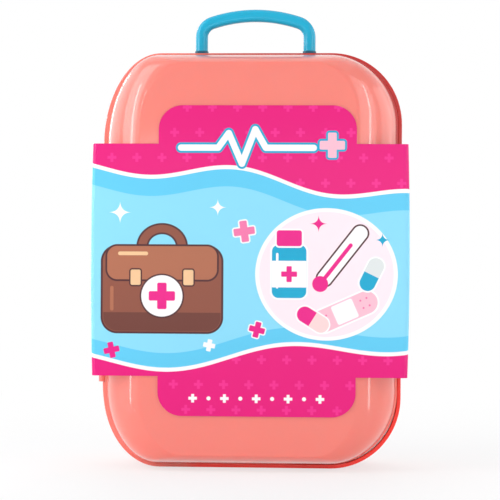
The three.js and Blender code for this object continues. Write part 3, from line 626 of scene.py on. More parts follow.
# Painted shade: dark red on the face of the base's rim along the seam on the latch half
paint_light_and_shade(base_plastic, painted_seam_shade_red, 0, x=latch_half, y=rim_face, z=(20, middle_z))
# Painted shade with a painted glow: dark red on the lid's edge along the seam on the latch half
paint_light_and_shade(shell_plastic, painted_seam_shade_red, painted_edge_glow, x=latch_half, y=seam_face)
# Painted shade: a darker salmon line along the top of the lid's flange, against its edge highlight
paint_light_and_shade(shell_plastic, painted_seam_shade_salmon, 0, x=(-50, -30), y=seam_side, z=(case_height - 6, case_height - 4))
# Painted shade with a painted glow: dark red along the side of the lid's flange, high on the latch side
paint_light_and_shade(shell_plastic, painted_seam_shade_red, painted_edge_glow, x=(38, 62), y=seam_side, z=above)
# Painted shade: the handle darker at its feet, where they go into the case
paint_light_and_shade(handle_plastic, painted_foot_shade_blue, 0, z=(case_height + 2.6, case_height + 2.0))


def drawn_steel():
    """Bright drawn wire, with fine streaks along its length in its tone and gloss."""
    material, shader, place = new_material("pin_steel")
    stretched = node(place.id_data, "Mapping", Vector=place, Scale=(1, 1, 0.02)).outputs[0]
    streaks = noise(stretched, 2600, 3)
    fill(shader, Base_Color=blended(streaks, steel, dull_steel), Metallic=1)
    fill(shader, Roughness=spread(streaks, 0.2, 0.36))
    bumped(shader, streaks, peel_height)
    return material


# Case outline at a plane, drawn in by an inset on each side
def drawn_in(corners, side, end, latch_side=None):
    insets = Corners(side, end, end, side if latch_side is None else latch_side, end)
    return Corners(*(radius - inset for radius, inset in zip(corners, insets)))


def mixed(first, second, share):
    return Corners(*(a + (b - a) * share for a, b in zip(first, second)))


def case_ring(y, hinge_in, latch_in, foot_in, top_in, corners):
    left, right = -half_width + hinge_in, half_width - latch_in
    return ring_in("xz", corner_ring(left, right, foot_in, case_height - top_in, corners), y)


def lid_ring(side, depth, thickness=0):
    """The lid's ring at an inset from its edge on the hinge side, and at a depth from the parting plane."""
    share = min(max((side - lid_flange) / (crown_inset - lid_flange), 0), 1)
    beyond = max(side - crown_inset, 0)
    end = min(side, crown_inset) * crown_end_share + beyond + thickness
    if side < lid_flange:
        latch_side = side * lid_latch_flange / lid_flange
    else:
        latch_side = lid_latch_flange + (crown_inset - lid_latch_flange) * share + beyond
    side, latch_side = side + thickness, latch_side + thickness
    corners = mixed(drawn_in(rim_corners, side, end, latch_side), face_corners, share)
    insets = (side, lid_latch_ledge + latch_side, lid_foot_ledge + end, lid_top_ledge + end)
    return case_ring(part_y - depth, *insets, drawn_in(corners, beyond, beyond))


def crown_points(thickness):
    points = []
    for step in range(crown_steps + 1):
        turn = crown_turn * step / crown_steps
        across = (1 - math.cos(turn)) / (1 - math.cos(crown_turn))
        up = math.sin(turn) / math.sin(crown_turn)
        side = lid_flange + (crown_inset - lid_flange) * across
        points.append((side, lid_flange_thick + (lid_depth - thickness - lid_flange_thick) * up))
    return points


def lid_profile():
    outside = crown_points(0)
    radii = [lid_flange_fillet] + [0] * (len(outside) - 2) + [crease_radius]
    return filleted([
        (lid_flange + wall, rim_gap, 0), (0, rim_gap, edge_radius), (0, lid_flange_thick, edge_radius),
        *[(side, depth, radius) for (side, depth), radius in zip(outside, radii)],
        (crown_inset + crease_run, lid_depth, 0),
    ])


def hinge_rod(radius, low, high):
    return rod("z", radius, (hinge.x, part_y, low), high)


def base_knuckle_spans(z):
    return [
        (z - knuckle_end - base_knuckle, z - knuckle_end),
        (z + knuckle_end, z + knuckle_end + base_knuckle),
    ]


def lid_shell():
    outer = [lid_ring(side, depth) for side, depth in lid_profile()]
    inner = [lid_ring(side, depth, wall) for side, depth in crown_points(wall)]
    shell = loft("lid_shell_moulded", [*reversed(outer), *inner])
    knuckles = []
    clear = []
    for z in hinge_heights:
        knuckles.append(hinge_rod(knuckle_radius, z - lid_knuckle / 2, z + lid_knuckle / 2))
        clear.append(hinge_rod(bore_radius, z - lid_knuckle, z + lid_knuckle))
        for low, high in base_knuckle_spans(z):
            clear.append(hinge_rod(knuckle_radius + seat_gap, low - seat_gap, high + seat_gap))
    for reach, height in ((lid_flange_thick + seat_gap, notch_depth), (notch_reach, notch_lip)):
        clear.append(block(
            (notch_from_centre - notch_width / 2, part_y - reach, -overrun),
            (notch_from_centre + notch_width / 2, part_y + overrun, lid_foot_ledge + height),
        ))
    cut(join(shell, *knuckles), *clear)
    edge_x = half_width - lid_latch_ledge
    catch = block(
        (edge_x - catch_root, part_y - lid_flange_thick - catch_thick, middle_z - catch_length / 2),
        (edge_x + catch_reach, lid_edge, middle_z + catch_length / 2),
    )
    return join(shell, round_edges(catch, 0.4))


def base_ring(side, end, depth):
    return case_ring(part_y + depth, side, side, end, end, drawn_in(rim_corners, side, end))


def base_rings(thickness):
    """Rings of the base's draft and its fillet to the back."""
    rings = []
    radius = back_fillet - thickness
    for step in range(back_steps + 1):
        angle = step / back_steps * math.pi / 2
        inset = band_step + thickness + radius * (1 - math.cos(angle))
        depth = base_depth - back_fillet + radius * math.sin(angle)
        rings.append(base_ring(inset + draft_side, inset + draft_end, depth))
    return rings


def base_shell():
    """The moulding with its feet, latch recess and ears, hinge knuckles and bores."""
    ledge_in = rim_wall + ledge_width
    low_in = band_step + wall
    band_end = band_depth + band_step
    rim = filleted([
        (ledge_in, ledge_drop, 0), (rim_wall, ledge_drop, 0), (rim_wall, 0, edge_radius), (0, 0, edge_radius),
        (0, band_depth, edge_radius), (band_step, band_end, edge_radius),
        (band_step + draft_start[0], band_end + draft_start[1], 0),
    ])
    shell = loft("base_shell_moulded", [
        *reversed(base_rings(0)),
        *[base_ring(side, side, depth) for side, depth in reversed(rim[:-1])],
        base_ring(ledge_in, ledge_in, ledge_drop),
        base_ring(ledge_in, ledge_in, ledge_under),
        base_ring(low_in, low_in, ledge_under + ledge_width),
        *base_rings(wall),
    ])
    latch_end = latch_width / 2 + seat_gap
    join(shell, block(
        (latch.x - latch_recess - wall, part_y + ledge_under, middle_z - latch_end - wall),
        (latch.x - band_step - wall / 2, part_y + band_end + wall, middle_z + latch_end + wall),
    ))
    cut(shell, block(
        (latch.x - latch_recess, part_y - overrun, middle_z - latch_end),
        (latch.x + overrun, part_y + band_end, middle_z + latch_end),
    ))
    foot_y = back_y - foot_from_back
    additions = []
    for side in (-1, 1):
        x = side * foot_from_centre
        additions.append(round_edges(block(
            (x - foot_width / 2, foot_y - foot_depth / 2, 0),
            (x + foot_width / 2, foot_y + foot_depth / 2, band_step + draft_end + wall),
        ), foot_rounding))
    for side in (-1, 1):
        near = middle_z + side * latch_end
        additions.append(rod("z", knuckle_radius, (latch.x, latch.y, near), near + side * latch_ear))
    clear = [latch_bore()]
    sockets = []
    for z in hinge_heights:
        sockets.append(hinge_rod(knuckle_radius + seat_gap, z - knuckle_end, z + knuckle_end))
        additions += [hinge_rod(knuckle_radius, low, high) for low, high in base_knuckle_spans(z)]
        reach = knuckle_end + base_knuckle + seat_gap
        clear.append(hinge_rod(bore_radius, z - reach, z + reach))
    cut(shell, *sockets)
    join(shell, *additions)
    return cut(shell, *clear)


# Carry handle
def handle_line():
    """The centre line in x and z: straight legs, rounded shoulders and a shallow crown."""
    crown_z = handle_high.z - handle_bar / 2 - handle_crown_radius
    shoulder_x = handle_leg - handle_shoulder
    inner = handle_crown_radius - handle_shoulder
    shoulder_z = crown_z + math.sqrt(inner ** 2 - shoulder_x ** 2)
    upright = math.pi / 2
    lean = math.asin(shoulder_x / inner)
    points = [(handle_leg, handle_foot + (shoulder_z - handle_foot) * step / 4) for step in range(4)]
    points += arc((shoulder_x, shoulder_z), handle_shoulder, 0, upright - lean, 24)
    points += arc((0, crown_z), handle_crown_radius, upright - lean, upright, 20)[1:]
    mirrored = [(-x, z) for x, z in reversed(points[:-1])]
    return [(handle_x + x, z) for x, z in points + mirrored]


def handle_section(z):
    """Round on the legs, and flatter in front along the grip, from the middle of its outer side."""
    leg_top = handle_high.z - handle_bar - handle_shoulder
    share = min(max((z - leg_top) / handle_shoulder, 0), 1)
    half_u, half_v, steps = handle_bar / 2, handle_thick / 2, 8
    ring = corner_ring(-half_u, half_u, -half_v, half_v, handle_thick * (0.49 - 0.15 * share), steps)
    return ring[steps + 1:] + ring[:steps + 1]


def carry_handle():
    """The bar with a collar and a tenon at each foot."""
    line = handle_line()
    rings = []
    for i, (x, z) in enumerate(line):
        before, after = line[max(i - 1, 0)], line[min(i + 1, len(line) - 1)]
        way = Vector((after[0] - before[0], after[1] - before[1])).normalized()
        rings.append([(x + way.y * u, handle_y + v, z - way.x * u) for u, v in handle_section(z)])
    handle = loft("carry_handle_moulded", rings)
    collar_spare, collar_corner = 0.5, 3.4
    half_u, half_v = handle_bar / 2 + collar_spare, handle_thick / 2 + collar_spare
    collar = corner_ring(-half_u, half_u, -half_v, half_v, collar_corner, 8)
    collar_shares = [(0, 0.95), (0.25, 1), (1.5, 1), (1.9, 0.93)]
    parts = []
    for side in (-1, 1):
        x = handle_x + side * handle_leg
        parts.append(loft("collar", [
            [(x + u * share, handle_y + v * share, handle_foot + height) for u, v in collar]
            for height, share in collar_shares
        ]))
        parts.append(block(
            (x - tenon_width / 2, handle_y - tenon_thick / 2, handle_low.z),
            (x + tenon_width / 2, handle_y + tenon_thick / 2, handle_foot + tenon_top),
        ))
    return join(handle, *parts)


# Latch
def latch_bore():
    return rod("z", bore_radius, (latch.x, latch.y, middle_z - bore_overrun), middle_z + bore_overrun)


def latch_lever():
    """The lever's section in x and y: a knuckle, a ribbed plate and the lip over the catch."""
    out_x = latch.x + knuckle_radius - latch_rib
    in_x = out_x - latch_plate
    tip_y = part_y - latch_reach
    lip_x = latch.x - lid_latch_ledge + catch_reach + rim_gap
    rib_fillet = 0.2
    corners = [
        (in_x, tip_y + latch_lip, 0.5), (lip_x, tip_y + latch_lip, 0.3), (lip_x, tip_y, 0.6),
        (out_x, tip_y, latch_lip * 0.6),
    ]
    for rib in range(rib_count):
        rib_y = tip_y + latch_lip + (rib + 0.25) * latch_lip
        corners += [
            (out_x, rib_y, rib_fillet), (out_x + latch_rib, rib_y + latch_lip / 4, rib_fillet),
            (out_x, rib_y + latch_lip / 2, rib_fillet),
        ]
    start = math.acos((out_x - latch.x) / knuckle_radius)
    end = 1.5 * math.pi + math.asin((in_x - latch.x) / knuckle_radius)
    outline = filleted(corners, closed=True) + arc((latch.x, latch.y), knuckle_radius, start, end, 40)
    ends = (middle_z - latch_width / 2, middle_z + latch_width / 2)
    lever = prism("latch_lever_moulded", "xy", outline, ends)
    return round_edges(cut(lever, latch_bore()), 0.35, angle=50)


# Sleeve
def sleeve_wrap(name, face_y, direction, hinge_end):
    """A C of card round the case, open towards the other half."""
    inner = card_half - card
    latch_end = part_y + direction * seat_gap

    def fold(x, y, radius, first, last):
        quarter = direction * math.pi / 2
        return arc((x, y - direction * radius), radius, first * quarter, last * quarter, 10)

    out_y = face_y + direction * card
    bend = fold_radius + card
    outline = [
        (-card_half, hinge_end), *fold(-card_half + bend, out_y, bend, 2, 1),
        *fold(card_half - bend, out_y, bend, 1, 0), (card_half, latch_end), (inner, latch_end),
        *fold(inner - fold_radius, face_y, fold_radius, 0, 1),
        *fold(-inner + fold_radius, face_y, fold_radius, 1, 2), (-inner, hinge_end),
    ]
    rows = 12
    tall = rear_high.z - rear_low.z
    return prism(name, "xy", outline, [rear_low.z + tall * row / rows for row in range(rows + 1)])


def bowed_with_window(wrap):
    """The card's sides bulge a little between its cut edges, and a window clears the latch."""
    middle = (rear_low.z + rear_high.z) / 2
    half_tall = (rear_high.z - rear_low.z) / 2
    for vertex in wrap.data.vertices:
        x, y, z = vertex.co / MM
        share = max(0, 1 - ((z - middle) / half_tall) ** 2)
        near_side = min(max((abs(x) - bow_start) / bow_run, 0), 1)
        vertex.co.x += math.copysign(side_bow * share * near_side ** 2, x) * MM
    half = latch_width / 2 + latch_ear + window_spare
    return cut(wrap, block(
        (half_width - overrun, part_y - latch_reach - window_spare, middle_z - half),
        (half_width + 2 * overrun, latch.y + latch_sweep, middle_z + half),
    ))


def card_finish(obj, print_material, direction, face_y):
    """Print outside, plain board inside, and a darker magenta painted on the cut edges as their shade."""
    mesh = obj.data
    mesh.materials.clear()
    for material in (board, print_material, shaded_cut_edge):
        mesh.materials.append(material)
    bend = fold_radius + card
    for face in mesh.polygons:
        centre = face.center / MM
        out_x = face.normal.x * math.copysign(1, centre.x)
        out_y = face.normal.y * direction
        if abs(centre.x) < card_half - bend:
            facing = out_y
        elif centre.y * direction > abs(face_y) - bend:
            facing = out_x + out_y
        else:
            facing = out_x
        at_edge = abs(face.normal.z) > 0.5 or abs(facing) < 0.5
        face.material_index = 2 if at_edge else 1 if facing > 0 else 0
    smooth(obj, 30)
    return obj


def sleeve_front():
    face_y = front_low.y + card
    wrap = sleeve_wrap("sleeve_front_card", face_y, -1, hinge_side_end)
    panel = corner_ring(panel_left, panel_right, front_low.z, front_high.z, panel_corner)
    join(wrap, prism("tab", "xz", panel, (face_y, front_low.y)))
    return card_finish(bowed_with_window(wrap), card_print("front_card", False), -1, face_y)


def sleeve_back():
    face_y = rear_high.y - card
    wrap = bowed_with_window(sleeve_wrap("sleeve_back_card", face_y, 1, part_y + seat_gap))
    return card_finish(wrap, card_print("rear_card", True), 1, face_y)


# Tray
basin_left, basin_right = -28, 56
basin_low, basin_high = 30, case_height - 58
basin_depth = 30
basin_draft = 3
basin_corner = 14
tray_top = node_box("tray")[0].y
barrel_low, barrel_high = node_box("syringe_barrel")
syringe_x = (barrel_low.x + barrel_high.x) / 2
syringe_z = (barrel_low.z + barrel_high.z) / 2
barrel_radius = 9.5
nozzle_length = 9


def basin_ring(y, grow):
    sides = (basin_left - grow, basin_right + grow, basin_low - grow, basin_high + grow)
    return ring_in("xz", corner_ring(*sides, basin_corner + grow), y)


def tray():
    edge = rim_wall + rim_gap
    floor = tray_top + basin_depth
    under_top = tray_top + tray_thick
    run_in, run_out, rim_run = 4, 8, 3
    top = filleted([
        (-basin_draft - run_in, floor, 0), (-basin_draft, floor, 3.4),
        (0, tray_top, 1.6), (run_out, tray_top, 0),
    ])
    under = filleted([
        (-basin_draft - run_in, floor + tray_thick, 0), (tray_thick - basin_draft, floor + tray_thick, 5),
        (tray_thick, under_top, 0.4), (run_out, under_top, 0),
    ])
    rim = filleted([
        (edge + rim_run, tray_thick, 0), (edge, tray_thick, 0.5), (edge, 0, 0.9), (edge + rim_run, 0, 0),
    ])
    body = loft("tray_moulded", [
        *[basin_ring(y, grow) for grow, y in under],
        *[base_ring(side, side, tray_drop + down) for side, down in rim],
        *[basin_ring(y, grow) for grow, y in reversed(top)],
    ])
    collar = barrel_radius + seat_gap
    tall = tray_thick + nozzle_length
    join(body, turned("collar", [
        (collar + tray_thick, 0, 0), (collar + tray_thick, tall, 0.6),
    ], (syringe_x, tray_top + tray_thick / 2, syringe_z), (0, 1, 0)))
    return cut(body, rod("y", collar, (syringe_x, tray_top - overrun, syringe_z), tray_top + 2 * basin_depth))


# Basket and hook rail in the lid
basket_low, basket_high = node_box("basket")
rail_low, rail_high = node_box("hook_rail")
basket_wall = 1.8
basket_taper = 4
basket_corner = 5
basket_lip = 2.5
slot_width = 15
slot_tall = 24
slot_pitch = 23
side_hole = 4
hook_count = 4
hook_width = 6
hook_thick = 2.6
hook_reach = 9
hook_rise = 9
rail_thick = 2.4


def basket():
    low_z, high_z = basket_low.z + basket_lip, basket_high.z - basket_lip
    back, front = basket_low.y, basket_high.y - basket_lip
    tall = basket_high.x - basket_low.x

    def ring(x, shrink, grow, corner=basket_corner):
        sides = (low_z + shrink - grow, high_z - shrink + grow, back - grow, front - shrink / 2 + grow)
        return ring_in("zy", corner_ring(*sides, corner, 10), x)

    floor_round = filleted([
        (basket_taper + 8, 0, 0), (basket_taper, 0, 2.2), (basket_taper * 0.9, tall * 0.1, 0),
    ])[1:]
    rings = [ring(basket_low.x + up, shrink, 0) for shrink, up in floor_round]
    box = loft("basket_moulded", [*rings, ring(basket_high.x - 1, 0, 0)])
    lip_back = back + basket_wall / 2
    lip = corner_ring(basket_low.z, basket_high.z, lip_back, basket_high.y, basket_corner, 10)
    join(box, prism("lip", "zy", lip, (basket_high.x - basket_lip, basket_high.x)))
    tools = [loft("inside", [
        ring(basket_low.x + basket_wall, basket_taper, -basket_wall, basket_corner - 1),
        ring(basket_high.x + overrun, -basket_taper * overrun / tall, -basket_wall, basket_corner - 1),
    ])]
    slot_x = basket_low.x + tall * 0.2
    half = slot_width / 2
    for step in (-1, 0, 1):
        z = (low_z + high_z) / 2 + step * slot_pitch
        crown = arc((slot_x + slot_tall - half, z), half, math.pi / 2, -math.pi / 2, 24)
        outline = [(slot_x, z - half), (slot_x, z + half), *crown]
        tools.append(prism("slot", "xz", outline, (front - basket_taper - basket_wall, front + overrun)))
    for share in (0.35, 0.65):
        start = (basket_low.x + tall * share, back + (front - back) / 2, basket_low.z - overrun)
        tools.append(rod("z", side_hole, start, basket_high.z + overrun, 32))
    return round_edges(cut(box, *tools), 0.35, angle=50)


def hook_rail():
    back = rail_low.y
    far = (rail_high.x, back + rail_thick, rail_high.z)
    rail = block((rail_low.x, back, rail_low.z), far, "hook_rail_moulded")
    root = rail_low.x + hook_thick / 2
    tip = back + rail_thick + hook_reach
    end = root + hook_rise + hook_thick / 2
    outline = filleted([
        (root, back + rail_thick / 2, 0), (root, tip, hook_thick), (end, tip, 1.2),
        (end, tip - hook_thick, 1.2), (root + hook_thick, tip - hook_thick, hook_thick / 2),
        (root + hook_thick, back + rail_thick / 2, 0),
    ])
    hooks = []
    for k in range(hook_count):
        z = rail_low.z + (rail_high.z - rail_low.z) * (k + 0.5) / hook_count
        hooks.append(prism("hook", "xy", outline, (z - hook_width / 2, z + hook_width / 2)))
    return round_edges(join(rail, *hooks), 0.5, segments=3, angle=50)


# Scissors
pivot = joint_place("scissors_pivot")
blade_thick = 2.6
blade_length = 54
blade_half = 5
loop_radius = 11
loop_hole = 7.4
loop_drop = 45
loop_out = 11.3
rivet_radius = 2
recess_depth = 0.5


def scissor_half(side, node_name):
    """A blade, a shank and a finger loop with round edges, and a sunk panel along the blade."""
    low, high = node_box(node_name)
    at = (pivot.x, pivot.z)
    b, length = blade_half, blade_length
    blade = [(b, -b), (-b, -b), (-b, b), (-b * 0.8, length * 0.75)]
    blade += quadratic(blade[-1], (-b * 0.5, length), (b * 0.3, length))
    blade += quadratic(blade[-1], (b, length * 0.9), (b, length * 0.7))
    loop = (side * loop_out, -loop_drop)
    neck = loop_radius * 0.35
    shank_end = -loop_drop + loop_radius * 0.8
    shank = [
        (-side * b * 0.8, 0), (side * b * 0.9, 0), (loop[0] + side * neck, shank_end),
        (loop[0] - side * neck, shank_end),
    ]
    panel = [(b * 0.45, b * 1.6), (-b * 0.45, b * 1.6), (-b * 0.4, length * 0.7), (b * 0.35, length * 0.82)]
    half = plate(node_name.replace("half", "moulded"), blade, high.y, blade_thick, 0.5, at)
    join(
        half, plate("shank", shank, high.y - 0.06, blade_thick - 0.12, 0.5, at),
        plate("loop", circle(loop, loop_radius), high.y - 0.02, blade_thick - 0.04, 0.9, at,
              [circle(loop, loop_hole)]),
    )
    return cut(
        half, plate("panel", panel, low.y + recess_depth, 1.2, 0.1, at),
        rod("y", rivet_radius + seat_gap, (pivot.x, low.y - overrun, pivot.z), high.y + overrun),
    )


def scissors_rivet():
    low, high = node_box("scissors_rivet")
    reach = high.y - low.y
    head, head_thick, dimple = (high.x - low.x) / 2, 1.4, 0.5
    return turned("scissors_rivet_turned", [
        (rivet_radius, 0, 0.3), (rivet_radius, reach - head_thick, 0), (head, reach - head_thick, 0.2),
        (head, reach, 1.0), (1.4, reach, 0.3), (1.1, reach - dimple, 0.2),
    ], (pivot.x, high.y, pivot.z), (0, -1, 0), 48)


# Syringe, standing in the tray with its nozzle towards the case's back
barrel_wall = 1.5
barrel_flange_thick = 2.4
nozzle_radius = 2.6
barrel_length = barrel_high.y - nozzle_length - tray_top + seat_gap
flange_half = (barrel_high.x - barrel_low.x) / 2
syringe_way = (0, -1, 0)
syringe_centre = (syringe_x, tray_top - seat_gap, syringe_z)
mark_count = 9
stem_radius = 1.8


def syringe_barrel():
    """Heights run from the flange's underside towards the lid."""
    inner = barrel_radius - barrel_wall
    tip = -barrel_length - nozzle_length
    nozzle_bore = nozzle_radius * 0.35
    barrel = turned("syringe_barrel_clear", [
        (nozzle_radius * 0.7, tip, 0.4), (nozzle_radius, -barrel_length - barrel_wall, 0.8),
        (barrel_radius, -barrel_length, 1.2), (barrel_radius, barrel_flange_thick / 2, 0),
    ], syringe_centre, syringe_way)
    half_v = barrel_radius + barrel_wall
    outline = corner_ring(-flange_half, flange_half, -half_v, half_v, barrel_radius, 16)
    join(barrel, plate(
        "flange", outline, tray_top - seat_gap, barrel_flange_thick, 0.6, (syringe_x, syringe_z),
    ))
    return cut(barrel, turned("bore", [
        (nozzle_bore, tip - 1, 0), (nozzle_bore, -barrel_length, 0.3),
        (inner, -barrel_length + barrel_wall, 0.8), (inner, overrun + 1, 0),
    ], syringe_centre, syringe_way))


def syringe_marks():
    """Raised printed rings round the barrel, a long one at every fourth."""
    marks = []
    steps = 24
    for k in range(mark_count):
        height = barrel_length * (0.16 + 0.7 * k / (mark_count - 1))
        sweep = math.pi * (0.62 if k % 4 == 0 else 0.36)
        rings = []
        for step in range(steps + 1):
            angle = -sweep / 2 + sweep * step / steps
            rings.append([(
                syringe_x + (barrel_radius + radius) * math.sin(angle), tray_top - seat_gap + height + along,
                syringe_z - (barrel_radius + radius) * math.cos(angle),
            ) for radius, along in ((0.02, -0.3), (0.12, -0.3), (0.12, 0.3), (0.02, 0.3))])
        marks.append(loft("syringe_marks", rings))
    return join(*marks)


def syringe_plunger():
    low, high = node_box("syringe_plunger")
    seal_low, seal_high = node_box("syringe_seal")
    thumb_radius = (high.x - low.x) / 2
    disc_radius = (seal_high.x - seal_low.x) / 2 - seat_gap
    thumb_thick, disc_thick, rib_reach, rib_half = 2.6, 1.5, 2.9, 0.7
    centre = (syringe_x, 0, syringe_z)
    rod_end = -(seal_low.y - seat_gap)
    top = -low.y
    thumb = turned("syringe_plunger_moulded", [
        (thumb_radius * 0.5, top, 0), (thumb_radius - 1.2, top - 0.4, 0.3), (thumb_radius, top, 0.4),
        (thumb_radius, top - thumb_thick, 0.6),
    ], centre, syringe_way)
    ribs = []
    for half_x, half_z in ((rib_reach, rib_half), (rib_half, rib_reach)):
        ribs.append(block(
            (syringe_x - half_x, -top + 1.2, syringe_z - half_z),
            (syringe_x + half_x, -rod_end - 0.8, syringe_z + half_z),
        ))
    join(thumb, *ribs)
    join(thumb, turned("disc", [
        (disc_radius, rod_end + disc_thick, 0.4), (disc_radius, rod_end, 0.3),
    ], centre, syringe_way))
    return join(thumb, rod("y", stem_radius, (syringe_x, high.y, syringe_z), -rod_end - 1, 32))


def syringe_seal():
    low, high = node_box("syringe_seal")
    radius = (high.x - low.x) / 2
    tall = high.y - low.y
    groove = tall / 5
    seal = turned("syringe_seal_moulded", [
        (radius - groove, 0, 0.4), (radius, groove, 0.3), (radius, 2 * groove, 0.3),
        (radius - groove, 2.5 * groove, 0.3), (radius, 3 * groove, 0.3), (radius, 4 * groove, 0.3),
        (radius - groove, tall, 0.2),
    ], (syringe_x, high.y, syringe_z), syringe_way)
    start = (syringe_x, low.y - overrun, syringe_z)
    return cut(seal, rod("y", stem_radius + seat_gap, start, high.y - tall / 2 + seat_gap, 32))


# Scalpel and tweezers on the basin's floor
def scalpel():
    low, high = node_box("scalpel")
    at = ((low.x + high.x) / 2, low.z)
    width, thick, length = high.x - low.x, high.y - low.y, high.z - low.z
    grip_long = length - 30
    grip = corner_ring(-width / 2, width / 2, 0, grip_long, width / 2.2, 12)
    blade = [(-width * 0.35, grip_long - width / 2), (width * 0.35, grip_long - width / 2)]
    blade += quadratic(blade[-1], (width * 0.6, length * 0.9), (-width * 0.35, length))
    body = plate("scalpel_moulded", grip, high.y, thick, 1.1, at)
    join(body, plate("blade", blade, high.y - thick / 4 - 0.03, thick / 2, 0.5, at))
    groove_start, groove_pitch, groove_radius = 46, 2.6, 0.7
    grooves = []
    for k in range(7):
        start = (at[0] - width, low.y, low.z + groove_start + k * groove_pitch)
        grooves.append(rod("x", groove_radius, start, at[0] + width, 16))
    return cut(body, *grooves)


def tweezers():
    low, high = node_box("tweezers")
    half, length, arm = 17 / 2, 100, 3.4
    bow = length * 0.45
    outline = [(-half * 0.5, 0)]
    for control, end, steps in (
        ((-half * 1.1, bow), (-arm * 0.5, length), 20), (None, (-arm * 0.15, length), 0),
        ((-half * 1.1 + arm, bow), (-half * 0.3, arm * 2), 20), ((0, arm), (half * 0.3, arm * 2), 8),
        ((half * 1.1 - arm, bow), (arm * 0.15, length), 20), (None, (arm * 0.5, length), 0),
        ((half * 1.1, bow), (half * 0.5, 0), 20), ((0, -arm), (-half * 0.5, 0), 8),
    ):
        outline += quadratic(outline[-1], control, end, steps) if control else [end]
    at = ((low.x + high.x) / 2, 47)
    return plate("tweezers_moulded", outline[:-1], high.y, high.y - low.y, 0.45, at)


# Play monitor on its back
knob_place = joint_place("knob_turn")
monitor_low, monitor_high = node_box("monitor_body")
screen_low, screen_high = node_box("monitor_screen")
monitor_x = (monitor_low.x + monitor_high.x) / 2
monitor_thick = 15
monitor_half = 26
monitor_corner = 6
monitor_foot_top = 9
monitor_face = monitor_high.y - monitor_thick


def monitor_body():
    z = monitor_low.z + monitor_corner
    housing = plate("monitor_body_moulded", corner_ring(
        monitor_x - monitor_half, monitor_x + monitor_half, z, monitor_high.z, monitor_corner, 12,
    ), monitor_high.y, monitor_thick, 1.6)
    join(housing, plate("foot", corner_ring(
        monitor_low.x, monitor_high.x, monitor_low.z, z + monitor_foot_top, 3.2, 9,
    ), monitor_high.y - 0.08, monitor_high.y - monitor_low.y - 0.08, 1.2))
    before = monitor_face - overrun
    tools = [block(
        (screen_low.x - seat_gap, before, screen_low.z - seat_gap), screen_high + Vector([seat_gap] * 3),
    )]
    tools.append(rod("y", 2.3, (knob_place.x, before, knob_place.z), monitor_face + overrun, 32))
    slit_left, slit_right, slit_depth, slit_tall, slit_pitch, slit_start = -18, 2, 0.8, 1.2, 2.6, -3.6
    for k in range(4):
        slit_z = knob_place.z + slit_start + k * slit_pitch
        tools.append(block(
            (monitor_x + slit_left, before, slit_z),
            (monitor_x + slit_right, monitor_face + slit_depth, slit_z + slit_tall),
        ))
    return cut(housing, *tools)


def monitor_screen():
    return round_edges(block(screen_low, screen_high, "monitor_screen_label"), 0.3)


def monitor_knob():
    low, high = node_box("monitor_knob")
    radius = (high.x - low.x) / 2
    face = monitor_face - seat_gap
    tall = face - low.y
    body = turned("monitor_knob_moulded", [
        (2, -4, 0.3), (2, 0, 0), (radius, 0, 0.3), (radius, tall * 0.7, 1.0),
    ], (knob_place.x, face, knob_place.z), (0, -1, 0))
    outline = corner_ring(-radius * 0.25, radius * 0.25, -radius * 0.9, radius * 0.9, radius * 0.24, 6)
    return join(body, plate(
        "grip", outline, face - tall * 0.5, tall * 0.5, 0.35, (knob_place.x, knob_place.z),
    ))


# Dropper bottle
bottle_low, bottle_high = node_box("dropper_bottle")
bottle_centre = ((bottle_low.x + bottle_high.x) / 2, (bottle_low.y + bottle_high.y) / 2, bottle_low.z)
bottle_radius = (bottle_high.x - bottle_low.x) / 2
bottle_tall = 30
bottle_neck = 7
rib_round = 24


def dropper_bottle():
    corner = bottle_radius * 0.15
    return turned("dropper_bottle_moulded", [
        (bottle_radius * 0.6, 0.8, 0.3), (bottle_radius * 0.7, 0, 0.4), (bottle_radius, 0, corner),
        (bottle_radius, bottle_tall * 0.56, 3), (bottle_radius - corner, bottle_tall * 0.78, 2.5),
        (bottle_neck, bottle_tall, 0.8), (bottle_neck, bottle_tall + bottle_neck, 0.5),
    ], bottle_centre, (0, 0, 1))


def dropper_cap():
    low, high = node_box("dropper_cap")
    seat = bottle_tall + seat_gap
    tall = high.z - low.z
    radius = (high.x - low.x) / 2
    bore = bottle_neck + seat_gap
    tip, groove_radius, groove_out = 3.4, 0.55, 0.25
    cap = turned("dropper_cap_moulded", [
        (radius, seat, 0.4), (radius, seat + tall * 0.4, 1.2), (radius * 0.75, seat + tall * 0.6, 1.5),
        (tip, seat + tall * 0.75, 1.5), (tip * 0.8, seat + tall, 1.0),
    ], bottle_centre, (0, 0, 1))
    hollow = [(bore, seat - 2, 0), (bore, seat + bore + seat_gap, 0)]
    tools = [turned("bore", hollow, bottle_centre, (0, 0, 1))]
    low_z = bottle_low.z + seat
    for x, y in circle(bottle_centre[:2], radius + groove_out, rib_round):
        tools.append(rod("z", groove_radius, (x, y, low_z - 1), low_z + tall * 0.36, 10))
    return cut(cap, *tools)


# Hinge and latch wires
def wire_pin(node_name):
    low, high = node_box(node_name)
    centre = ((low.x + high.x) / 2, (low.y + high.y) / 2, low.z)
    corners = [(pin_radius, 0, 0.4), (pin_radius, high.z - low.z, 0.4)]
    return turned(node_name + "_drawn", corners, centre, (0, 0, 1), 32)


# Printed card: shapes drawn by their distance from a point of the unfolded card, in millimetres
def nearest(*distances):
    least = distances[0]
    for distance in distances[1:]:
        least = least.of("MINIMUM", distance)
    return least


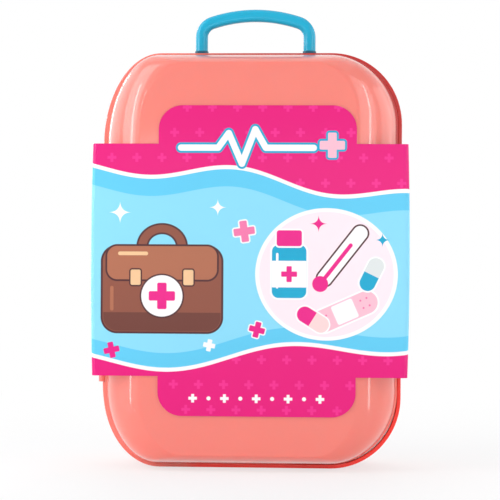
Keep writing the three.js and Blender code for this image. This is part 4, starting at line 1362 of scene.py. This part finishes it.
class Artwork:
    """Layers of flat colour over a place that is counted in millimetres across and up."""

    def __init__(self, tree, color, across, up):
        self.tree = tree
        self.color = color
        self.place = node(tree, "CombineXYZ", X=across, Y=up).outputs[0]

    def vector(self, operation, first, second=(0, 0, 0), **inputs):
        made = node(self.tree, "VectorMath", operation=operation, **inputs)
        feed(made.inputs[0], first)
        feed(made.inputs[1], second)
        if operation in ("LENGTH", "DOT_PRODUCT"):
            return Field(made.outputs["Value"])
        return made.outputs["Vector"]

    def local(self, centre, turn=0):
        """The place seen from a shape's centre, turned by an angle in degrees."""
        away = self.vector("SUBTRACT", self.place, (*centre, 0))
        if turn == 0:
            return away
        settings = {"rotation_type": "Z_AXIS", "Angle": math.radians(-turn)}
        return node(self.tree, "VectorRotate", Vector=away, **settings).outputs[0]

    def disc(self, centre, stretch=None):
        away = self.local(centre)
        if stretch:
            away = self.vector("DIVIDE", away, (*stretch, 1))
        return self.vector("LENGTH", away)

    def box(self, centre, half, corner, turn=0):
        """Zero at the shape's edge, where the corners have the radius that is given."""
        away = self.vector("ABSOLUTE", self.local(centre, turn))
        beyond = self.vector("SUBTRACT", away, (half[0] - corner, half[1] - corner, 0))
        return self.vector("LENGTH", self.vector("MAXIMUM", beyond)) - corner

    def line(self, first, last):
        way = (last[0] - first[0], last[1] - first[1], 0)
        away = self.vector("SUBTRACT", self.place, (*first, 0))
        along = self.vector("DOT_PRODUCT", away, way) * (1 / (way[0] ** 2 + way[1] ** 2))
        foot = self.vector("SCALE", way, Scale=along.of("MAXIMUM", 0).of("MINIMUM", 1))
        return self.vector("LENGTH", self.vector("SUBTRACT", away, foot))

    def trace(self, points):
        return nearest(*[self.line(first, last) for first, last in zip(points, points[1:])])

    def plus(self, centre, reach, half, turn=0):
        corner = half * 0.35
        return nearest(
            self.box(centre, (reach, half), corner, turn), self.box(centre, (half, reach), corner, turn),
        )

    def paint(self, distance, *layers, blur=ink_blur):
        """Each layer's colour, where the distance is under the layer's edge."""
        for edge, color in layers:
            self.color = blended(ranged(distance, edge + blur, edge - blur), self.color, color)


def wave(across, level, *swings):
    """An edge's height: a level with swings of (height, turns round the card, start)."""
    height = across * 0 + level
    for swing, turns, start in swings:
        height = height + (across * (2 * math.pi * turns / card_round) + start).of("SINE") * swing
    return height


def turned_place(centre, turn, along, over=0):
    """A place along and over a shape that is turned by an angle in degrees."""
    spin = math.radians(turn)
    return (
        centre[0] + along * math.cos(spin) - over * math.sin(spin),
        centre[1] + along * math.sin(spin) + over * math.cos(spin),
    )


def doctor_bag(art, x, z):
    """A brown bag with a flap, a round handle and a white disc with a plus."""
    handle = (art.disc((x, z + 32), (1, 0.92)) - 15).of("ABSOLUTE")
    art.paint(handle, (4.6, ink), (3.2, brown))
    body = art.box((x, z), (45, 32), 11)
    art.paint(body, (1.5, ink), (0, brown))
    art.paint(body.of("MAXIMUM", art.box((x, z - 27), (60, 10), 1)), (-0.5, deep_brown))
    art.paint(art.box((x, z + 20), (42, 13), 8), (1, ink), (-0.4, light_brown))
    art.paint(art.line((x - 32, z + 27), (x - 12, z + 27)), (1.4, tan))
    art.paint(art.line((x - 38, z + 1), (x - 38, z - 15)), (1.3, light_brown))
    for side in (-1, 1):
        art.paint(art.box((x + side * 20, z + 9), (4, 6), 1.5), (0.9, ink), (-0.2, tan))
    art.paint(art.disc((x, z - 5)), (16.8, ink), (15.6, paper))
    art.paint(art.plus((x, z - 5), 10, 3.6), (0, magenta))


def medicine_bottle(art, x, z):
    art.paint(art.box((x, z), (13, 20), 5), (1.2, paper), (0, turquoise))
    art.paint(art.box((x, z - 2), (13, 10), 0.5), (0, paper))
    art.paint(art.plus((x, z - 2), 6, 2), (0, magenta))
    art.paint(art.box((x, z + 25), (9.5, 6), 2), (1.2, paper), (0, magenta))
    art.paint(art.line((x - 9, z + 13), (x - 9, z - 12)), (0.9, paper))


def thermometer(art, centre, turn):
    tip = turned_place(centre, turn, -27)
    art.paint(art.box(centre, (27, 5.5), 5.4, turn), (1.3, ink), (0, paper))
    art.paint(art.disc(tip), (6, magenta))
    art.paint(art.line(tip, turned_place(centre, turn, 10)), (1.5, magenta))


def plaster(art, centre, turn):
    art.paint(art.box(centre, (26, 8.5), 8.4, turn), (1.3, paper), (0, blush))
    art.paint(art.box(centre, (8.5, 7.5), 1.5, turn), (0, paper))
    for along in (-19, -14, 14, 19):
        for over in (-3, 3):
            art.paint(art.disc(turned_place(centre, turn, along, over)), (0.8, rose))


def capsule(art, centre, turn, color):
    shell = art.box(centre, (13, 6), 5.9, turn)
    half = art.box(turned_place(centre, turn, 6.5), (6.6, 6.2), 0.1, turn)
    art.paint(shell, (1.2, paper), (0, color))
    art.paint(shell.of("MAXIMUM", half), (0, cream))


def spark(art, centre, size, color):
    """A star with four drawn-in points."""
    across, up = along_axes(art.vector("ABSOLUTE", art.local(centre)))[:2]
    art.paint(across.of("POWER", 0.5) + up.of("POWER", 0.5), (math.sqrt(size), color), blur=0.05)


def front_print(art):
    """The front's own pictures, which stand for the product's print."""
    doctor_bag(art, -66, 138)
    spark(art, (-98, 196), 9, paper)
    spark(art, (-24, 200), 7, paper)
    art.paint(art.plus((-104, 92), 6, 2.2, 12), (0, magenta))
    art.paint(art.plus((-30, 96), 4.5, 1.7, -10), (0, paper))
    art.paint(art.disc((58, 150), (1, 0.93)), (53.5, paper), (50.5, blush_light))
    medicine_bottle(art, 30, 152)
    plaster(art, (72, 122), 24)
    thermometer(art, (70, 164), 52)
    capsule(art, (48, 116), -32, magenta)
    capsule(art, (92, 150), 64, turquoise)
    spark(art, (52, 188), 7, magenta)
    spark(art, (100, 176), 6, turquoise)
    art.paint(art.plus((-4, 182), 8, 2.8, 8), (1, paper), (0, rose))
    art.paint(art.plus((6, 108), 6, 2.2, -14), (0.9, paper), (0, magenta))
    pulse = art.trace([(-52, 245), (-24, 245), (-16, 256), (-6, 233), (4, 259), (12, 245), (48, 245)])
    art.paint(pulse, (4, turquoise), (2.4, paper))
    art.paint(art.plus((62, 247), 9.5, 3.3), (1.5, turquoise), (0, blush))
    for k in range(9):
        place = (5.7 + (k - 4) * 12, 56)
        if k % 2:
            art.paint(art.disc(place), (1.5, paper))
        else:
            art.paint(art.plus(place, 3.2, 1.1), (0, paper))


def card_print(name, turned_back):
    """Printed gloss card, with the place counted round the sleeve from the middle of its front."""
    material, shader, place = new_material(name)
    x, y, z = [along * (1 / MM) for along in along_axes(place)]
    side = x.of("SIGN")
    if turned_back:
        across = -(x + side * (-y + rear_high.y).of("MAXIMUM", 0)) + card_round / 2
    else:
        across = x + side * (y - front_low.y - card).of("MAXIMUM", 0)
    art = Artwork(material.node_tree, hot_magenta, across, z)

    # Tone on tone pluses all over, in staggered rows
    rows = z * (1 / plus_pitch)
    columns = across * (1 / plus_pitch) + rows.of("FLOOR") * 0.5
    in_cell = [(count.of("FRACT") - 0.5) * plus_pitch for count in (columns, rows)]
    scatter = Artwork(art.tree, hot_magenta, *in_cell)
    art.paint(scatter.plus((0, 0), 3.4, 1.1), (0, soft_magenta), blur=0.4)

    # The sky-blue band between two waves with white edges
    high_edge = wave(across, 213, (15, 1, 2.55), (6, 5, 2.0))
    low_edge = wave(across, 95, (-10, 1, 2.55), (7, 4, 0.6))
    art.paint((z - high_edge).of("MAXIMUM", low_edge - z), (wave_line, paper), (0, sky))
    art.paint((z - high_edge + 13).of("MAXIMUM", low_edge - z + 11), (0, light_sky))
    if not turned_back:
        front_print(art)
    fill(shader, Base_Color=art.color, Roughness=spread(noise(place, 60), 0.28, 0.31))
    fill(shader, Specular_IOR_Level=0.2, Coat_Weight=0.15, Coat_Roughness=0.12)
    bumped(shader, noise(place, 420, 4), card_height)
    return material


def screen_print():
    """The play monitor's printed label: a beat across a faint grid, in a frame, with level bars."""
    material, shader, place = new_material("screen_label")
    x, y, z = [along * (1 / MM) for along in along_axes(place)]
    middle = (screen_low + screen_high) / 2
    half = (screen_high - screen_low) / 2
    across, up = x - middle.x, z - middle.z
    art = Artwork(material.node_tree, screen_cream, across, up)
    for count in (across, up):
        rule = ((count * (1 / screen_grid)).of("FRACT") - 0.5).of("ABSOLUTE") * screen_grid
        art.paint(rule, (0.12, screen_rule), blur=0.08)
    border = art.box((0, 0), (half.x - 2, half.z - 2), 2.5).of("ABSOLUTE")
    beat = art.trace([(u * half.x, v * half.z) for u, v in (
        (-0.8, 0), (-0.42, 0), (-0.32, 0.16), (-0.2, 0), (-0.12, -0.14), (0, 0.52), (0.14, -0.36), (0.24, 0),
        (0.42, 0), (0.5, 0.14), (0.58, 0), (0.8, 0),
    )])
    art.paint(border, (0.5, magenta), blur=screen_blur)
    art.paint(beat, (0.55, magenta), blur=screen_blur)
    art.paint(art.plus((-half.x * 0.68, half.z * 0.6), 2.2, 0.75), (0, turquoise), blur=screen_blur)
    for k, tall in enumerate((0.8, 1.3, 1.9, 1.4)):
        bar = art.box((half.x * 0.5 + k * 1.7, -half.z * 0.74 + tall), (0.55, tall), 0.2)
        art.paint(bar, (0, turquoise), blur=screen_blur)
    fill(shader, Base_Color=art.color, Roughness=spread(noise(place, 90), 0.13, 0.2))
    bumped(shader, noise(place, 420, 4), peel_height)
    return material


# Pieces
pin_steel = drawn_steel()
for piece, body, material, slot, *nodes in (
    (lid_shell(), "lid", shell_plastic, "shell", "lid_shell"),
    (base_shell(), "base", base_plastic, "shell", "base_shell"),
    (carry_handle(), "base", handle_plastic, "trim", "carry_handle"),
    (latch_lever(), "latch", trim_plastic, "trim", "latch_lever"),
    (sleeve_front(), "sleeve_fore", None, "sleeve", "sleeve_front"),
    (sleeve_back(), "sleeve_rear", None, "sleeve", "sleeve_back"),
    (tray(), "base", tray_plastic, "tray", "tray"),
    (basket(), "lid", trim_plastic, "trim", "basket"),
    (hook_rail(), "lid", trim_plastic, "trim", "hook_rail"),
    (scissor_half(1, "scissors_fixed_half"), "base", dark_plastic, "tool_dark", "scissors_fixed_half"),
    (scissor_half(-1, "scissors_moving_half"), "scissors_blade", dark_plastic, "tool_dark",
     "scissors_moving_half"),
    (scissors_rivet(), "base", tool_plastic, "tool", "scissors_rivet"),
    (syringe_barrel(), "base", clear_plastic, "clear", "syringe_barrel"),
    (syringe_marks(), "base", tool_plastic, "tool"),
    (syringe_plunger(), "plunger", tray_plastic, "tray", "syringe_plunger"),
    (syringe_seal(), "plunger", seal_rubber, "seal", "syringe_seal"),
    (scalpel(), "base", pink_plastic, "tool_pink", "scalpel"),
    (tweezers(), "base", pink_plastic, "tool_pink", "tweezers"),
    (monitor_body(), "base", tool_plastic, "tool", "monitor_body"),
    (monitor_screen(), "base", screen_print(), "screen", "monitor_screen"),
    (monitor_knob(), "knob", pink_plastic, "tool_pink", "monitor_knob"),
    (dropper_bottle(), "base", pink_plastic, "tool_pink", "dropper_bottle"),
    (dropper_cap(), "cap", tool_plastic, "tool", "dropper_cap"),
    (wire_pin("hinge_pin_lower"), "base", pin_steel, "pin", "hinge_pin_lower"),
    (wire_pin("hinge_pin_upper"), "base", pin_steel, "pin", "hinge_pin_upper"),
    (wire_pin("latch_pin"), "base", pin_steel, "pin", "latch_pin"),
):
    if material:
        one_finish(piece, material)
    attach(piece, body)
    if nodes:
        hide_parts(*nodes)

# Camera, at the photograph's angle
image_pixels = 500
rim_scale = 1.2957
camera_distance = 1430
camera_height = 168
camera_left = 1.5
camera_yaw = math.radians(3.2)
camera_roll = math.radians(-0.3)
sensor = 36
camera_data = bpy.data.cameras.new("camera")
camera_data.sensor_width = sensor
camera_data.lens = rim_scale * camera_distance * sensor / image_pixels
camera_data.clip_start = 0.05
camera_data.clip_end = 30
camera = linked("camera", camera_data)
camera.location = Vector((
    camera_distance * math.sin(camera_yaw) - camera_left, part_y - camera_distance * math.cos(camera_yaw),
    camera_height,
)) * MM
camera.rotation_euler = (math.pi / 2, camera_roll, camera_yaw)
bpy.context.scene.camera = camera
bpy.context.scene.view_settings.view_transform = "Standard"


# Floor, backdrop and lights
def seen_directly(tree):
    """One for what the camera sees, also in a reflection or through clear plastic, and else zero."""
    rays = node(tree, "LightPath").outputs
    seen = Field(rays["Is Camera Ray"]).of("MAXIMUM", Field(rays["Is Glossy Ray"]))
    return seen.of("MAXIMUM", Field(rays["Is Transmission Ray"]))


def floor_pale():
    """A plain pale floor that takes the case's shadow near it and fades to white."""
    material, shader, place = new_material("floor_pale")
    tree = material.node_tree
    fill(shader, Base_Color=(0.9, 0.9, 0.9, 1), Roughness=0.6, Specular_IOR_Level=0.1)
    away = Field(node(tree, "VectorMath", operation="LENGTH", Vector=place).outputs["Value"])
    fade = ranged(away, 0.12, 0.75, 0.68, 1.0, interpolation_type="SMOOTHSTEP")
    share = node(tree, "MixShader", Fac=seen_directly(tree) * fade)
    feed(share.inputs[1], shader.outputs[0])
    feed(share.inputs[2], node(tree, "Emission", Color=(1, 1, 1, 1), Strength=1.0).outputs[0])
    fill(tree.nodes["Material Output"], Surface=share.outputs[0])
    return material


floor_half = 6
floor_mesh = bpy.data.meshes.new("floor")
floor_corners = [(x * floor_half, y * floor_half, 0) for x, y in ((-1, -1), (1, -1), (1, 1), (-1, 1))]
floor_mesh.from_pydata(floor_corners, [], [(0, 1, 2, 3)])
floor_mesh.materials.append(floor_pale())
linked("floor", floor_mesh)

world_light = 0.27
world = bpy.data.worlds.new("studio")
bpy.context.scene.world = world
world.use_nodes = True
shown = seen_directly(world.node_tree) * (1 - world_light) + world_light
fill(world.node_tree.nodes["Background"], Color=(1, 1, 1, 1), Strength=shown)

# Softboxes that face the case: bearing in degrees to the right of the front, distance, height,
# width, height of the box and glow
for name, bearing, distance, height, width, tall, glow in (
    ("light_left", -62, 1.6, 0.8, 1.0, 1.7, 2.6),
    ("light_left_rear", -110, 1.6, 0.6, 1.3, 1.5, 0.8),
    ("light_left_strip", -142, 1.6, 0.3, 0.06, 1.2, 16),
    ("light_left_slot", -56, 0.4, 0.21, 0.022, 0.42, 7),
    ("light_crease_strip", -37, 1.8, 0.3, 0.04, 1.0, 12),
    ("light_right", 50, 1.6, 0.5, 0.9, 1.3, 1.4),
    ("light_right_slot", 55, 0.38, 0.21, 0.02, 0.42, 6),
    ("light_right_side", 100, 1.6, 0.4, 1.2, 1.4, 1.1),
    ("light_low_front", 4, 2.2, 0.2, 1.8, 0.38, 1.8),
    ("light_top", 0, 0.3, 2.2, 3.0, 3.0, 0.45),
    ("light_back", 178, 1.8, 1.9, 2.0, 1.2, 3.2),
):
    light_data = bpy.data.lights.new(name, "AREA")
    light_data.shape = "RECTANGLE"
    light_data.size = width
    light_data.size_y = tall
    light_data.energy = glow * math.pi * width * tall
    light = linked(name, light_data)
    turn = math.radians(bearing)
    light.location = (distance * math.sin(turn), -distance * math.cos(turn), height)
    way = Vector((0, 0, middle_z * MM)) - light.location
    light.rotation_euler = way.to_track_quat("-Z", "Y").to_euler()
    light.visible_glossy = name != "light_back"
